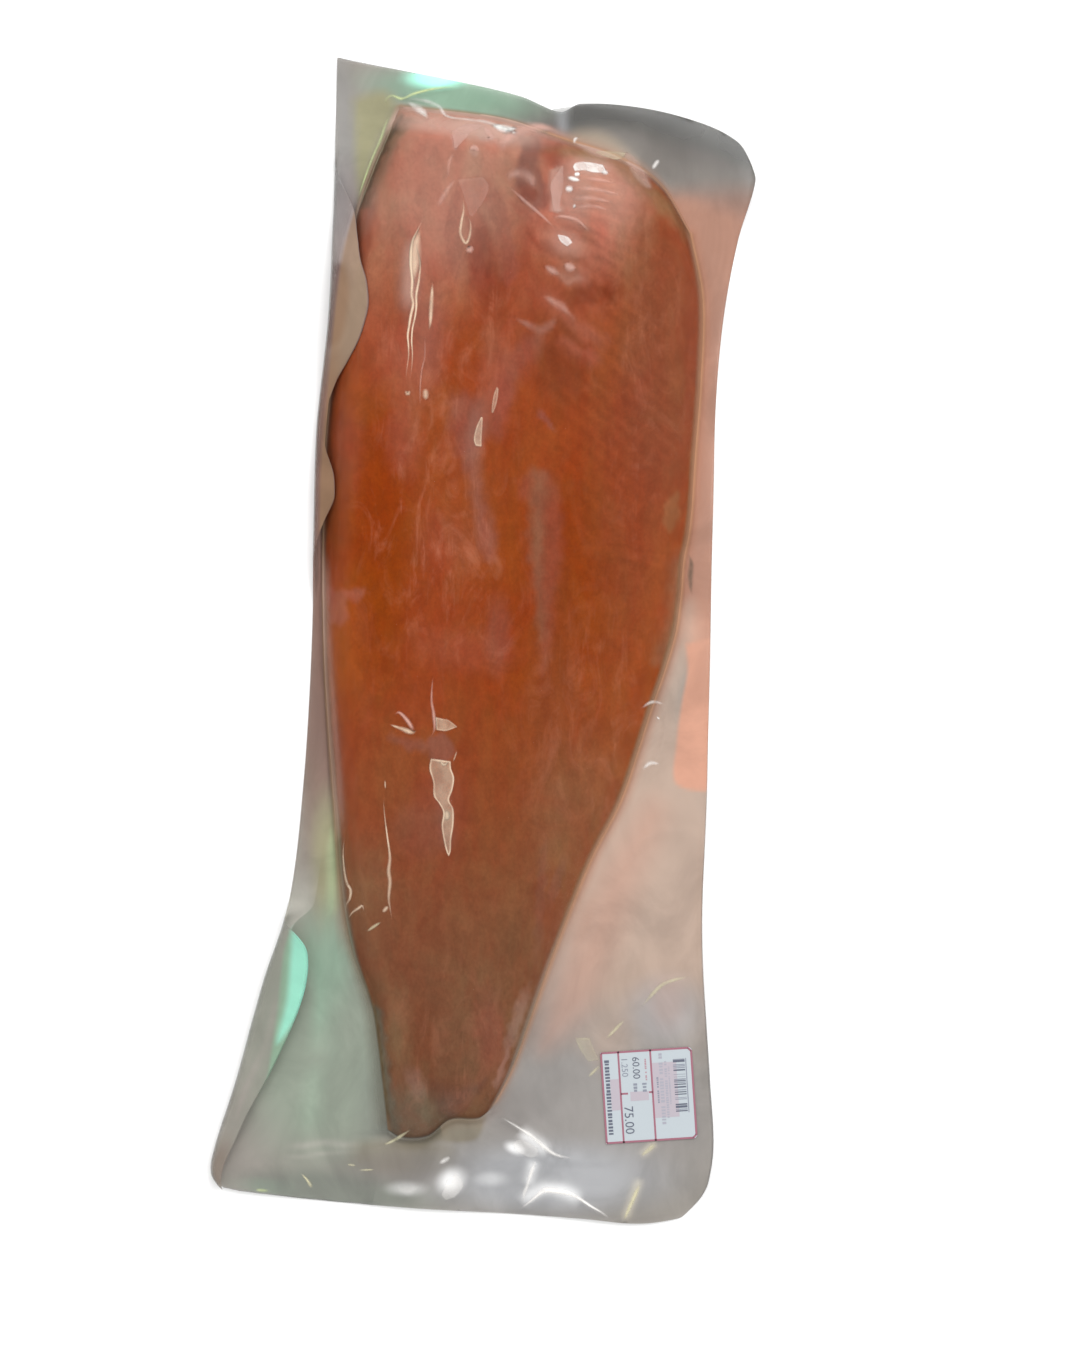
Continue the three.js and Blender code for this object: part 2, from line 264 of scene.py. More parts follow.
def shares(steps):
    return np.linspace(0, 1, steps + 1)


def stops(block, steps, bunching):
    t = shares(steps)
    return block + mix(t, 0.5 - 0.5 * np.cos(np.pi * t), bunching)


def sheetMesh(bm, x, y, z, a, b, part):  # a grid moved into place, each vertex noting its a, b and part
    layer = bm.verts.layers.float_vector.get("grid") or bm.verts.layers.float_vector.new("grid")
    rows, columns = x.shape
    before = len(bm.verts)
    bmesh.ops.create_grid(bm, x_segments=columns - 1, y_segments=rows - 1, size=1)
    places = np.stack([x + frameShift.real, y + frameShift.imag, z], -1) * mm
    notes = np.stack(np.broadcast_arrays(a, b, part, x)[:3], -1)
    bm.verts.ensure_lookup_table()
    for v in bm.verts[before:]:
        i = round((v.co.x + 1) / 2 * (columns - 1))
        j = round((v.co.y + 1) / 2 * (rows - 1))
        v.co = places[j, i]
        v[layer] = notes[j, i]


def finishPiece(name, bm, materials):
    mesh = bpy.data.meshes.new(name)
    bm.to_mesh(mesh)
    bm.free()
    for material in materials:
        mesh.materials.append(material)
    mesh.shade_smooth()
    piece = bpy.data.objects.new(name, mesh)
    bpy.context.scene.collection.objects.link(piece)
    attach(piece, "root")
    return piece


class Shader:  # one material's nodes, added and wired in a line each
    def __init__(self, name):
        self.material = bpy.data.materials.new(name)
        self.material.use_nodes = True
        self.tree = self.material.node_tree
        self.tree.nodes.clear()

    def add(self, kind, inputs=None, **settings):
        node = self.tree.nodes.new(kind)
        for key, value in settings.items():
            setattr(node, key, value)
        for key, value in (inputs or {}).items():
            socket = node.inputs[key]
            if isinstance(value, bpy.types.NodeSocket):
                self.tree.links.new(value, socket)
            else:
                socket.default_value = value
        return node

    def value(self, kind, inputs=None, **settings):
        return self.add(kind, inputs, **settings).outputs[0]

    def maths(self, operation, first, second, clamp=False):
        return self.value("ShaderNodeMath", {0: first, 1: second}, operation=operation, use_clamp=clamp)

    def blend(self, share, first, second, mode="MIX"):
        inputs = {"Factor": share, 6: first, 7: second}
        return self.add("ShaderNodeMix", inputs, data_type="RGBA", blend_type=mode).outputs[2]

    def shade(self, colour, red, green, blue):  # a colour times a share for each of its parts
        parts = self.value("ShaderNodeCombineColor", {0: red, 1: green, 2: blue})
        return self.blend(1.0, colour, parts, "MULTIPLY")

    def ramp(self, value, low, high, bottom=0.0, top=1.0):
        inputs = {"Value": value, "From Min": low, "From Max": high, "To Min": bottom, "To Max": top}
        return self.value("ShaderNodeMapRange", inputs, interpolation_type="SMOOTHSTEP", clamp=True)

    def attribute(self, name, output="Fac"):
        return self.add("ShaderNodeAttribute", attribute_name=name).outputs[output]

    def noise(self, vector, scale, detail, roughness, distortion=0.0):
        inputs = {"Vector": vector, "Scale": scale, "Detail": detail, "Roughness": roughness,
            "Distortion": distortion}
        return self.add("ShaderNodeTexNoise", inputs).outputs["Fac"]

    def pattern(self, stretch, turn, *settings):
        return self.noise(self.stretched(stretch, turn), *settings)

    def stretched(self, scale, turn=0.0):
        place = self.add("ShaderNodeTexCoord").outputs["Object"]
        return self.value("ShaderNodeMapping", {"Vector": place, "Scale": scale, "Rotation": (0, 0, turn)})

    def finish(self, surface):
        self.add("ShaderNodeOutputMaterial", {"Surface": surface})
        return self.material


def linear(*screen):  # screen colour, 0 to 255, as the scene-linear colour that shaders take
    return tuple(((c / 255 + 0.055) / 1.055) ** 2.4 if c > 10 else c / 255 / 12.92 for c in screen) + (1,)


def outsideGap(a, b):  # how far a place is outside the fish's outline, in millimetres
    back = (lineAlong(1, b) - lineAlong(0, b)).real * np.clip(1 - a, 0, 1)
    belly = (lineAlong(3, b) - lineAlong(2, b)).real * np.clip(a - 2, 0, 1)
    tail = (lineAcross(1, a) - lineAcross(0, a)).imag * np.clip(1 - b, 0, 1)
    head = (lineAcross(3, a) - lineAcross(2, a)).imag * np.clip(b - 2, 0, 1)
    return np.hypot(back + belly, tail + head)


def smoothPath(path, step):  # a smooth line through the given points, as plan points about one step apart
    points = np.array([complex(*point) for point in path])
    travelled = np.concatenate([[0], np.cumsum(abs(np.diff(points)))])
    at = np.linspace(0, travelled[-1], max(2, round(travelled[-1] / step) + 1))
    x = valueAt(np.stack([travelled, points.real], -1), at)
    return x + 1j * valueAt(np.stack([travelled, points.imag], -1), at)


def nearLine(p, line, reach):  # distance to a line and share of the way along it, far off beyond the reach
    distance = np.full(p.shape, 1e3)
    along = np.zeros(p.shape)
    inside = (p.real > line.real.min() - reach) & (p.real < line.real.max() + reach)
    inside &= (p.imag > line.imag.min() - reach) & (p.imag < line.imag.max() + reach)
    if not inside.any():
        return distance, along
    q = p[inside][:, None]
    start, span = line[None, :-1], np.diff(line)[None, :]
    t = np.clip(((q - start) * np.conj(span)).real / abs(span) ** 2, 0, 1)
    gap = abs(q - start - t * span)
    nearest = gap.argmin(1)[:, None]
    distance[inside] = np.take_along_axis(gap, nearest, 1)[:, 0]
    along[inside] = (nearest + np.take_along_axis(t, nearest, 1))[:, 0] / (line.size - 1)
    return distance, along


def lineShare(p, line):  # 1 on a soft line, 0 beyond its width, fading at its ends
    distance, along = nearLine(p, smoothPath(line["path"], 3.0), 3 * line["width"])
    ends = np.clip(np.minimum(along, 1 - along) / line.get("fade", 0.3), 0, 1)
    return np.exp(-(distance / line["width"]) ** 2) * ends * (2 - ends)


def outlineShare(p, patch):  # 1 inside a closed line, fading to 0 across it over its softness in millimetres
    line = smoothPath(patch["outline"] + patch["outline"][:1], 2.0)
    distance, _ = nearLine(p, line, patch["soft"])
    turns = np.zeros(p.shape)
    near = (p.real > line.real.min()) & (p.real < line.real.max())
    near &= (p.imag > line.imag.min()) & (p.imag < line.imag.max())
    q = p[near][:, None]
    turns[near] = np.angle((line[1:] - q) / (line[:-1] - q)).sum(1)
    inward = np.where(abs(turns) > np.pi, distance, -distance)
    return smooth(inward, -patch["soft"] / 2, patch["soft"] / 2)


def ovalShare(p, patch):  # 1 in an oval, fading to 0 over its soft rim
    turned = (p - complex(*patch["centre"])) * np.exp(-1j * math.radians(patch.get("turn", 0)))
    out = np.hypot(turned.real / patch["half"][0], turned.imag / patch["half"][1])
    soft = patch.get("soft", 1.3)
    return smooth(out, 1 + soft / 2, 1 - soft / 2)


def patchShare(p, patch):
    kind = lineShare if "path" in patch else outlineShare if "outline" in patch else ovalShare
    return kind(p, patch) * patch.get("share", 1)


def ripples(p, size, seed, stretch=1.0):  # gentle waves that never quite repeat, about -1 to 1
    rng = np.random.default_rng(seed)
    total = 0
    for _ in range(9):
        heading = np.exp(1j * rng.uniform(0, 2 * np.pi)) / (size * rng.uniform(0.6, 1.6))
        wave = (p.real + 1j * p.imag / stretch) * heading
        total = total + np.sin(2 * np.pi * wave.real + rng.uniform(0, 2 * np.pi))
    return total / 3.2


# entries of the tables below: soft areas of colour, and raised or sunken lines
def oval(colour, centre, half, share=1, **more):
    return {"colour": colour, "centre": centre, "half": half, "share": share, **more}


def shape(colour, soft, share, *outline, **more):
    return {"colour": colour, "soft": soft, "share": share, "outline": outline, **more}


def band(colour, width, share, *path, **more):
    return {"colour": colour, "width": width, "share": share, "path": path, **more}


def ridge(width, height, *path, **more):
    return {"width": width, "height": height, "path": path, **more}


flesh = {
    "base": 0.6,
    "acrossSteps": 182,
    "alongSteps": 500,
    "bottom": 0.25,
    "unevenHeight": 0.25,
    "unevenSize": 26,
    "grainHeight": 0.07,
    "grainSize": 7,
    # the small ribs that fan out beside the furrow: where they start, their slope and how fast it grows
    "ribs": {"centre": (63, 230), "half": (19.8, 30.8), "soft": 1.0, "from": (42, 248), "slope": 0.21,
        "growth": 0.0076, "spacing": 5.9, "height": 0.24, "shade": 0.035},
    "softRibs": {"centre": (67, 132), "half": (34.1, 71.5), "from": (42, 165), "slope": 0.84, "growth": 0.0,
        "spacing": 9.5, "height": 0.22, "shade": 0.04},
}

# seams and folds in the flesh: width, height and the way they run
fleshRidges = [
    ridge(1.5, -0.3, (1, 171), (1, 132), (2, 94), (4, 44), (4, -11), (4, -49), (6, -143), (3, -242),
        fade=0.1),
    ridge(2, 1.3, (13, 263), (12, 270), (16, 276), (23, 280), (31, 281), (40, 279), fade=0.12),
    ridge(5.5, -2.4, (18, 264), (24, 272), (34, 274), (40, 270), fade=0.2),
    ridge(3.2, 0.9, (29, 189), (40, 181), (51, 170), (59, 165), fade=0.2),
    ridge(5, 0.8, (42, 187), (58, 177), (74, 171)),
    ridge(5.5, 0.8, (56, 171), (72, 160), (86, 153)),
    ridge(1.6, -0.5, (42, 50), (64, 52), (86, 48), (108, 46)),
    ridge(1.8, 0.5, (68, 48), (86, 43), (103, 38)),
    ridge(3.5, -0.35, (-19, -33), (-24, -55), (-46, -48), (-79, -27)),
    ridge(1.6, 0.7, (37, 229), (43, 231), (51, 229), (58, 222), fade=0.25),
    ridge(1.8, 0.6, (13, 247), (22, 239), (32, 231), (40, 223), fade=0.25),
]

# The pinkish violet colour stands for painted reflections, the glow colour for painted highlights and the
# hollow's colour for painted shade. The pink, blush and dark colours are flesh tones, and by the furrow they
# also serve as painted highlights and shade on the ribs and folds.
fleshColours = {
    "base": linear(166, 77, 34),
    "deep": linear(160, 66, 4),
    "orange": linear(176, 84, 26),
    "pale": linear(194, 134, 108),
    "pink": linear(196, 132, 112),
    "blush": linear(178, 98, 76),
    "mauve": linear(164, 92, 74),
    "dusk": linear(138, 84, 74),
    "lavender": linear(210, 168, 156),
    "brown": linear(152, 82, 54),
    "dark": linear(142, 66, 36),
    "red": linear(148, 66, 44),
    "tail": linear(131, 93, 68),
    "tailRed": linear(137, 85, 57),
    "tailDark": linear(104, 78, 68),
    "fat": linear(176, 142, 100),
    "olive": linear(160, 128, 92),
    "greenGrey": linear(152, 106, 80),
    "skin": linear(116, 100, 78),
    "skinDark": linear(84, 74, 58),
    "tailEdge": linear(118, 112, 96),
    "vein": linear(196, 128, 102),
    "scale": linear(138, 138, 132),
    "scaleRim": linear(70, 70, 64),
    "glow": linear(238, 150, 122),
}

# soft areas of the flesh, laid one over another: ovals, closed outlines and lines. Most are the flesh's own
# tones, and some are painted reflections, highlights and shade, as noted at each
fleshAreas = [
    # paler flesh at the head end; the pale and pink ovals over the ribs beside the furrow are a painted
    # highlight
    oval("pale", (-16, 259), (55, 48.4), 0.85, soft=1),
    oval("pale", (64, 229), (23.1, 27.5), 0.8),
    oval("pink", (-8, 277), (46.2, 16.5), 0.75, turn=-9),
    oval("pink", (-21, 230), (26.4, 47.3), 0.4),
    oval("pink", (58, 239), (27.5, 27.5), 0.95),
    oval("pale", (-59, 215), (14.3, 34.1), 0.45, turn=-6),
    # painted highlights on the head end, as glow ovals
    oval("glow", (-3, 279), (35.2, 11), 0.6, turn=-9),
    oval("glow", (-21, 234), (28.6, 46.2), 0.17),
    oval("glow", (56, 237), (22, 24.2), 0.9),
    oval("glow", (38, 222), (12.1, 13.2), 0.6),
    oval("glow", (-40, 147), (14.3, 19.8), 0.2),
    oval("pink", (7, 148), (7.7, 24.2), 0.3),
    oval("blush", (-23, -94), (14.3, 23.1), 0.35),
    oval("blush", (42, 208), (38.5, 38.5), 0.5),
    oval("blush", (-49, 168), (19.8, 33), 0.4),
    oval("blush", (-73, 102), (8.8, 22), 0.5),
    oval("orange", (69, 75), (19.8, 24.2), 0.6),
    oval("olive", (84, 208), (12.1, 19.8), 0.35),
    oval("olive", (47, -93), (19.8, 33), 0.3, turn=-20),
    oval("olive", (-62, -145), (13.2, 33), 0.4),
    oval("deep", (-56, 53), (16.5, 71.5), 0.95),
    oval("deep", (57, 55), (20.9, 44), 0.9),
    oval("deep", (50, 9), (14.3, 27.5), 0.6),
    oval("deep", (17, 22), (16.5, 71.5), 0.5),
    oval("deep", (3, -82), (22, 60.5), 0.3),
    oval("orange", (-76, 0), (11, 38.5), 0.5),
    oval("brown", (100, 154), (23.1, 82.5), 0.9, soft=1),
    oval("brown", (78, 88), (22, 77), 0.5),
    oval("dark", (38, 0), (12.1, 77), 0.4),
    # painted shade in the folds beside the furrow
    oval("dark", (42, 152), (16.5, 23.1), 0.8, turn=20),
    oval("dark", (59, 188), (15.4, 5.5), 0.8, turn=8, soft=1),
    oval("dark", (-79, 94), (7.7, 49.5), 0.5),
    oval("red", (-1, 208), (8.2, 22), 0.8, turn=4, soft=0.8),
    oval("red", (-65, 220), (5, 19.8), 0.5, turn=-8, soft=1),
    # painted reflections, as pinkish violet streaks
    shape("mauve", 3, 0.5, (-14, 248), (-19, 235), (-21, 220), (-19, 205), (-15, 195), (-11, 208),
        (-13, 226), (-12, 240)),
    shape("mauve", 4, 0.6, (-3, 240), (4, 230), (8, 215), (9, 198), (14, 192), (19, 204), (16, 220),
        (12, 234), (9, 244), (1, 243)),
    shape("blush", 3, 0.7, (-12, 248), (-4, 252), (3, 250), (3, 242), (-2, 233), (0, 225), (-8, 225),
        (-11, 236)),
    shape("lavender", 1.6, 0.55, (-17, 275), (-12, 279), (-6, 283), (1, 282), (2, 277), (4, 273), (1, 271),
        (-3, 275), (-6, 279), (-9, 275), (-11, 271), (-15, 266), (-17, 270)),
    shape("lavender", 2, 0.4, (-9, 265), (-6, 268), (-2, 265), (-4, 263)),
    # painted shade in the hollow at the head end
    shape("dusk", 5, 0.75, (20, 275), (29, 279), (31, 270), (30, 258), (34, 250), (35, 235), (30, 233),
        (20, 242), (16, 253), (20, 264)),
    shape("red", 7, 0.55, (31, 275), (37, 277), (43, 272), (43, 263), (40, 257), (35, 260), (32, 267)),
    oval("red", (24, 243), (5, 5), 0.7, soft=1),
    band("pink", 1.8, 0.4, (14, 248), (15, 253), (20, 254), (26, 250), (29, 243)),
    band("pink", 2.4, 0.6, (12, 265), (12, 270), (16, 276), (23, 280), (32, 280), fade=0.2),
    # painted reflections, as pinkish violet bands
    shape("mauve", 10, 0.65, (34, 168), (31, 159), (24, 148), (18, 137), (13, 124), (9, 110), (3, 112),
        (4, 127), (9, 143), (16, 159), (24, 166)),
    shape("mauve", 9, 0.8, (-18, 132), (-12, 134), (-3, 130), (0, 116), (-2, 98), (1, 77), (7, 53), (4, 43),
        (-2, 51), (-6, 72), (-9, 90), (-15, 102), (-18, 116)),
    oval("blush", (-33, 171), (12.1, 33), 0.5),
    oval("dark", (6, 185), (6.6, 27.5), 0.4, turn=-4),
    oval("blush", (-43, 110), (8.8, 18.7), 0.5),
    oval("blush", (-19, 53), (13.2, 16.5), 0.25, turn=30),
    oval("blush", (-12, -5), (24.2, 11), 0.3, turn=-8),
    # painted reflections, as pinkish violet patches
    oval("mauve", (8, 3), (6.6, 18.7), 0.55),
    shape("mauve", 3, 0.85, (-30, -53), (-21, -51), (-15, -59), (-18, -66), (-28, -66), (-30, -59)),
    shape("mauve", 5, 0.7, (-51, -52), (-40, -54), (-30, -56), (-30, -61), (-40, -59), (-48, -56)),
    oval("mauve", (-36, -104), (14.3, 14.3), 0.4, soft=1),
    shape("mauve", 8, 0.45, (19, 87), (26, 92), (37, 90), (42, 77), (42, 44), (38, 17), (36, -8), (32, -19),
        (31, 0), (30, 22), (26, 44), (25, 75), (20, 77)),
    shape("greenGrey", 7, 0.5, (28, 94), (34, 89), (34, 66), (32, 44), (33, 17), (32, 0), (29, 22),
        (26, 44), (26, 72)),
    shape("blush", 4, 0.7, (-86, 29), (-76, 27), (-65, 28), (-67, 22), (-74, 21), (-73, 11), (-82, 9)),
    # painted highlights along the folds beside the furrow
    band("blush", 4.5, 0.7, (29, 191), (40, 181), (53, 169), (70, 160)),
    band("blush", 4.5, 0.6, (40, 167), (51, 158), (67, 151)),
    band("pink", 1.4, 0.5, (35, 188), (43, 181), (51, 173)),
    shape("fat", 3.5, 0.2, (106, 82), (101, 77), (98, 69), (99, 61), (103, 57), (106, 66), (107, 75)),
    band("greenGrey", 6.5, 0.75, (111, 51), (108, 33), (107, 14), (103, -1), (96, -17), fade=0.2),
    # painted reflections, as small pinkish violet marks
    oval("mauve", (34, 120), (1.9, 7.2), 0.8, turn=36, soft=0.7),
    oval("mauve", (67, -115), (5.5, 27.5), 0.5, turn=-28),
    oval("mauve", (31, -143), (2.8, 30.3), 0.6, turn=-4, soft=1),
    oval("mauve", (40, -132), (2.8, 13.2), 0.6, turn=-18, soft=1),
    band("pale", 5, 0.4, (86, -71), (72, -104), (57, -132), (45, -156), (35, -184), fade=0.2),
    shape("orange", 3, 0.5, (56, -121), (53, -132), (46, -151), (41, -164), (45, -159), (53, -143),
        (59, -125)),
    # painted highlights on the ribs and folds beside the furrow, and painted shade in the furrows between
    # them
    band("pink", 1.3, 0.6, (54, 247), (64, 244), (76, 242)),
    band("dark", 1.6, 0.4, (45, 241), (55, 241), (67, 237), (77, 233), fade=0.4),
    band("pink", 1.7, 0.75, (37, 229), (43, 231), (51, 229), (59, 221)),
    band("dark", 2.6, 0.35, (41, 224), (48, 225), (54, 221), (62, 215)),
    band("dark", 2.6, 0.4, (35, 216), (40, 211), (45, 208)),
    band("pink", 1.7, 0.6, (34, 203), (42, 198), (48, 196), (57, 197)),
    band("dark", 1.7, 0.5, (40, 208), (51, 208), (58, 204), fade=0.4),
    band("dark", 1.8, 0.5, (39, 175), (50, 163), (64, 158), fade=0.4),
    band("blush", 2.4, 0.7, (12, 240), (25, 230), (40, 220)),
    band("red", 3, 0.6, (20, 225), (31, 215), (40, 207), fade=0.4),
    oval("olive", (54, 266), (16.5, 4.4), 0.6, turn=-8),
    shape("olive", 9, 0.5, (69, 265), (79, 264), (94, 249), (110, 236), (117, 217), (110, 221), (91, 239),
        (76, 252)),
    oval("lavender", (-3, 280), (41.2, 5.5), 0.35, turn=-7),
    oval("pink", (-62, 241), (6.6, 16.5), 0.3, turn=20),
    # painted highlight beside the furrow
    oval("glow", (54, 232), (6.1, 6.1), 0.3),
    oval("pink", (37, 229), (6.6, 6.6), 0.3),
    oval("red", (-45, 217), (7.2, 9.9), 0.25),
    band("blush", 5, 0.3, (-73, -132), (-69, -159), (-64, -187)),
]

# the tail end and the skin along the back, laid over those
tailAreas = [
    oval("tailRed", (-34, -217), (8.2, 25.3), 0.8),
    oval("tailRed", (17, -184), (7.7, 27.5), 0.8, turn=-8),
    # painted reflection on the tail end
    oval("mauve", (3, -214), (7.2, 19.8), 0.45),
    oval("lavender", (18, -209), (3.3, 17.6), 0.22, turn=-18, soft=1),
    oval("lavender", (10, -235), (2.2, 11), 0.25, turn=-20, soft=1),
    oval("lavender", (-37, -243), (4.4, 8.8), 0.2, turn=20),
    oval("olive", (-47, -211), (6.6, 18.7), 0.3),
    oval("tailEdge", (-40, -263), (18.7, 16.5), 0.5),
    oval("tailDark", (-21, -253), (5.5, 12.1), 0.3, turn=30),
    shape("tailDark", 9, 0.6, (1, -242), (-3, -247), (-12, -256), (-18, -263), (-23, -259), (-24, -251),
        (-15, -246)),
    shape("tailEdge", 5, 0.8, (-61, -200), (-58, -220), (-56, -242), (-54, -258), (-52, -274), (-46, -274),
        (-48, -259), (-51, -242), (-54, -222), (-57, -202)),
    band("skin", 4.4, 0.55, (-41, 288), (-47, 277), (-53, 264), (-59, 250), (-66, 236), fade=0.05),
    band("skinDark", 2.4, 0.85, (-45, 290), (-51, 277), (-57, 264), (-63, 251), (-69, 237), fade=0.05),
    band("skinDark", 1.1, 0.6, (-61, -200), (-59, -211), (-57, -225), (-55, -247), (-52, -266), fade=0.15),
]

# how much of the tail's colour shows along the fish, and of the fat's at its edges
fleshEdges = {
    "tailAlong": [(-272, 0.95), (-210, 0.85), (-150, 0.6), (-90, 0.3), (-20, 0)],
    "fatWidth": 2.2,
    "fatAlongBack": [(-270, 0.4), (-150, 0.7), (-60, 0.7), (40, 0.4), (150, 0.2), (290, 0.2)],
    "fatAlongBelly": [(-260, 0.7), (-60, 0.9), (60, 0.85), (150, 0.8), (225, 0.8)],
    # painted lightening near the fish's edges, which offsets the shade on their rounded slopes: its reach in
    # millimetres and its strength
    "litEdgeReach": 9,
    "pale": 0.16,
    "wander": 0.9,
    "wanderSize": 9,
    "tone": 0.6,
    "veins": 0.06,
}

# where fine pale threads show in the flesh
fleshVeins = [
    oval("vein", (-29, 66), (38.5, 71.5), 0.36, soft=1),
    oval("vein", (-8, 17), (27.5, 38.5), 0.34, soft=1),
    oval("vein", (-24, 171), (33, 49.5), 0.3),
    oval("vein", (86, 143), (27.5, 82.5), 0.2),
    oval("vein", (58, -44), (33, 60.5), 0.2, soft=1),
    oval("vein", (-13, -220), (38.5, 44), 0.16, soft=0.8),
]


def ribWave(p, ribs):
    beyond = p - complex(*ribs["from"])
    fan = (-beyond.imag - ribs["slope"] * beyond.real) / np.maximum(1 + ribs["growth"] * beyond.real, 0.5)
    return patchShare(p, ribs) * np.cos(2 * np.pi * (fan + 1.2 * ripples(p, 24, 5)) / ribs["spacing"])


def fleshTop(a, b):  # height of the fish with its seams, folds and ribs
    p = planPoint(a, b)
    edge = nearest(edgeDistances(a, b))
    relief = flesh["unevenHeight"] * ripples(p, flesh["unevenSize"], 3, 1.8)
    relief = relief + flesh["grainHeight"] * ripples(p, flesh["grainSize"], 8, 1.5)
    for line in fleshRidges:
        relief = relief + line["height"] * lineShare(p, line)
    for name in ("ribs", "softRibs"):
        relief = relief + flesh[name]["height"] * ribWave(p, flesh[name])
    return fishHeight(a, b) + relief * smooth(edge, 0, 9)


def placeOf(mesh):  # a finished mesh's plan points and grid positions
    count = len(mesh.vertices)
    places = np.empty(count * 3)
    mesh.vertices.foreach_get("co", places)
    places = places.reshape(-1, 3) / mm
    grid = np.empty(count * 3)
    mesh.attributes["grid"].data.foreach_get("vector", grid)
    grid = grid.reshape(-1, 3)
    return places[:, 0] + 1j * places[:, 1] - frameShift, grid[:, 0], grid[:, 1], grid[:, 2]


def paint(mesh, name, values):
    if values.ndim == 2:
        layer = mesh.attributes.new(name, "FLOAT_COLOR", "POINT")
        layer.data.foreach_set("color", values.astype(np.float32).ravel())
    else:
        layer = mesh.attributes.new(name, "FLOAT", "POINT")
        layer.data.foreach_set("value", values.astype(np.float32))


def layOver(colours, share, colour):
    return mix(colours, np.array(colour), np.clip(share, 0, 1)[:, None])


def layAreas(shown, p, areas, colours):
    for area in areas:
        shown = layOver(shown, patchShare(p, area), colours[area["colour"]])
    return shown


def paintFlesh(mesh):
    p, a, b, _ = placeOf(mesh)
    a, b = np.clip(a, 1, 2), np.clip(b, 1, 2)
    size = fleshEdges["wanderSize"]
    wavy = p + fleshEdges["wander"] * (ripples(p, size, 31) + 1j * ripples(p, size, 32))
    shown = np.tile(np.array(fleshColours["base"]), (p.size, 1))
    shown = layAreas(shown, wavy, fleshAreas, fleshColours)
    shown = layOver(shown, valueAt(fleshEdges["tailAlong"], wavy.imag), fleshColours["tail"])
    shown = layAreas(shown, wavy, tailAreas, fleshColours)
    edges = edgeDistances(a, b)
    # painted lightening near the edges, against the shade of the rounded slopes
    shown[:, :3] *= 1 + fleshEdges["pale"] * smooth(nearest(edges), fleshEdges["litEdgeReach"], 0)[:, None]
    for edge, table in (("back", "fatAlongBack"), ("belly", "fatAlongBelly")):
        fat = smooth(edges[edge], fleshEdges["fatWidth"] * 1.5, 0) * valueAt(fleshEdges[table], p.imag)
        shown = layOver(shown, fat, fleshColours["fat"])
    # painted light and shade that follow the ribs' relief
    for name in ("ribs", "softRibs"):
        shown[:, :3] *= 1 + flesh[name]["shade"] * ribWave(p, flesh[name])[:, None]
    shown[:, :3] *= fleshEdges["tone"]
    paint(mesh, "fleshColour", shown)
    veins = fleshEdges["veins"] + np.maximum.reduce([patchShare(p, patch) for patch in fleshVeins])
    paint(mesh, "veinShare", np.clip(veins, 0, 1))


# patterns in the flesh: stretch, turn, scale, detail, roughness and distortion
fleshPatterns = {
    "mottle": ((1, 0.6, 1), 0.0, 34.0, 4.0, 0.62, 0.6),
    "streaks": ((1, 0.1, 1), 0.0, 110.0, 3.0, 0.6),
    "patches": ((1.1, 0.7, 1), 0.2, 130.0, 4.0, 0.6, 0.5),
    "speckle": ((1, 0.8, 1), 0.0, 620.0, 2.0, 0.6),
    "wisps": ((1, 0.5, 1), -0.4, 55.0, 5.0, 0.68, 1.2),
    "strokes": ((1, 0.1, 1), -0.35, 170.0, 3.0, 0.6),
    "grain": ((1, 0.5, 1), 0.0, 420.0, 2.0, 0.5),
}


def fleshMaterial():
    shader = Shader("salmonFlesh")
    pattern = {name: shader.pattern(*settings) for name, settings in fleshPatterns.items()}
    tone = shader.ramp(pattern["mottle"], 0.3, 0.7, 0.86, 1.14)
    tone = shader.maths("MULTIPLY", tone, shader.ramp(pattern["streaks"], 0.3, 0.7, 0.95, 1.05))
    colour = shader.shade(shader.attribute("fleshColour", "Color"), 1.0, tone, tone)
    light = shader.ramp(pattern["patches"], 0.3, 0.7, 0.91, 1.09)
    light = shader.maths("MULTIPLY", light, shader.ramp(pattern["speckle"], 0.3, 0.7, 0.95, 1.05))
    colour = shader.shade(colour, light, light, light)
    wisps = pattern["wisps"]
    strokes = shader.ramp(pattern["strokes"], 0.56, 0.72, 0.0, 0.7)
    strokes = shader.maths("MULTIPLY", strokes, shader.ramp(wisps, 0.4, 0.6))
    veins = shader.maths("MAXIMUM", shader.ramp(wisps, 0.46, 0.8, 0.0, 0.8), strokes)
    share = shader.maths("MULTIPLY", veins, shader.attribute("veinShare"))
    colour = shader.blend(share, colour, fleshColours["vein"])
    grain = pattern["grain"]
    bump = shader.value("ShaderNodeBump", {"Height": grain, "Strength": 0.1, "Distance": 0.0005})
    inputs = {"Base Color": colour, "Roughness": 0.5, "Specular IOR Level": 0.06, "Normal": bump}
    return shader.finish(shader.value("ShaderNodeBsdfPrincipled", inputs))


def skinMaterial():
    shader = Shader("salmonSkin")
    scales = shader.value("ShaderNodeTexVoronoi", {"Vector": shader.stretched((1, 0.7, 1)), "Scale": 260.0})
    colour = shader.blend(shader.ramp(scales, 0.1, 0.7), fleshColours["scale"], fleshColours["scaleRim"])
    surface = shader.value("ShaderNodeBsdfPrincipled", {"Base Color": colour, "Roughness": 0.35})
    return shader.finish(surface)


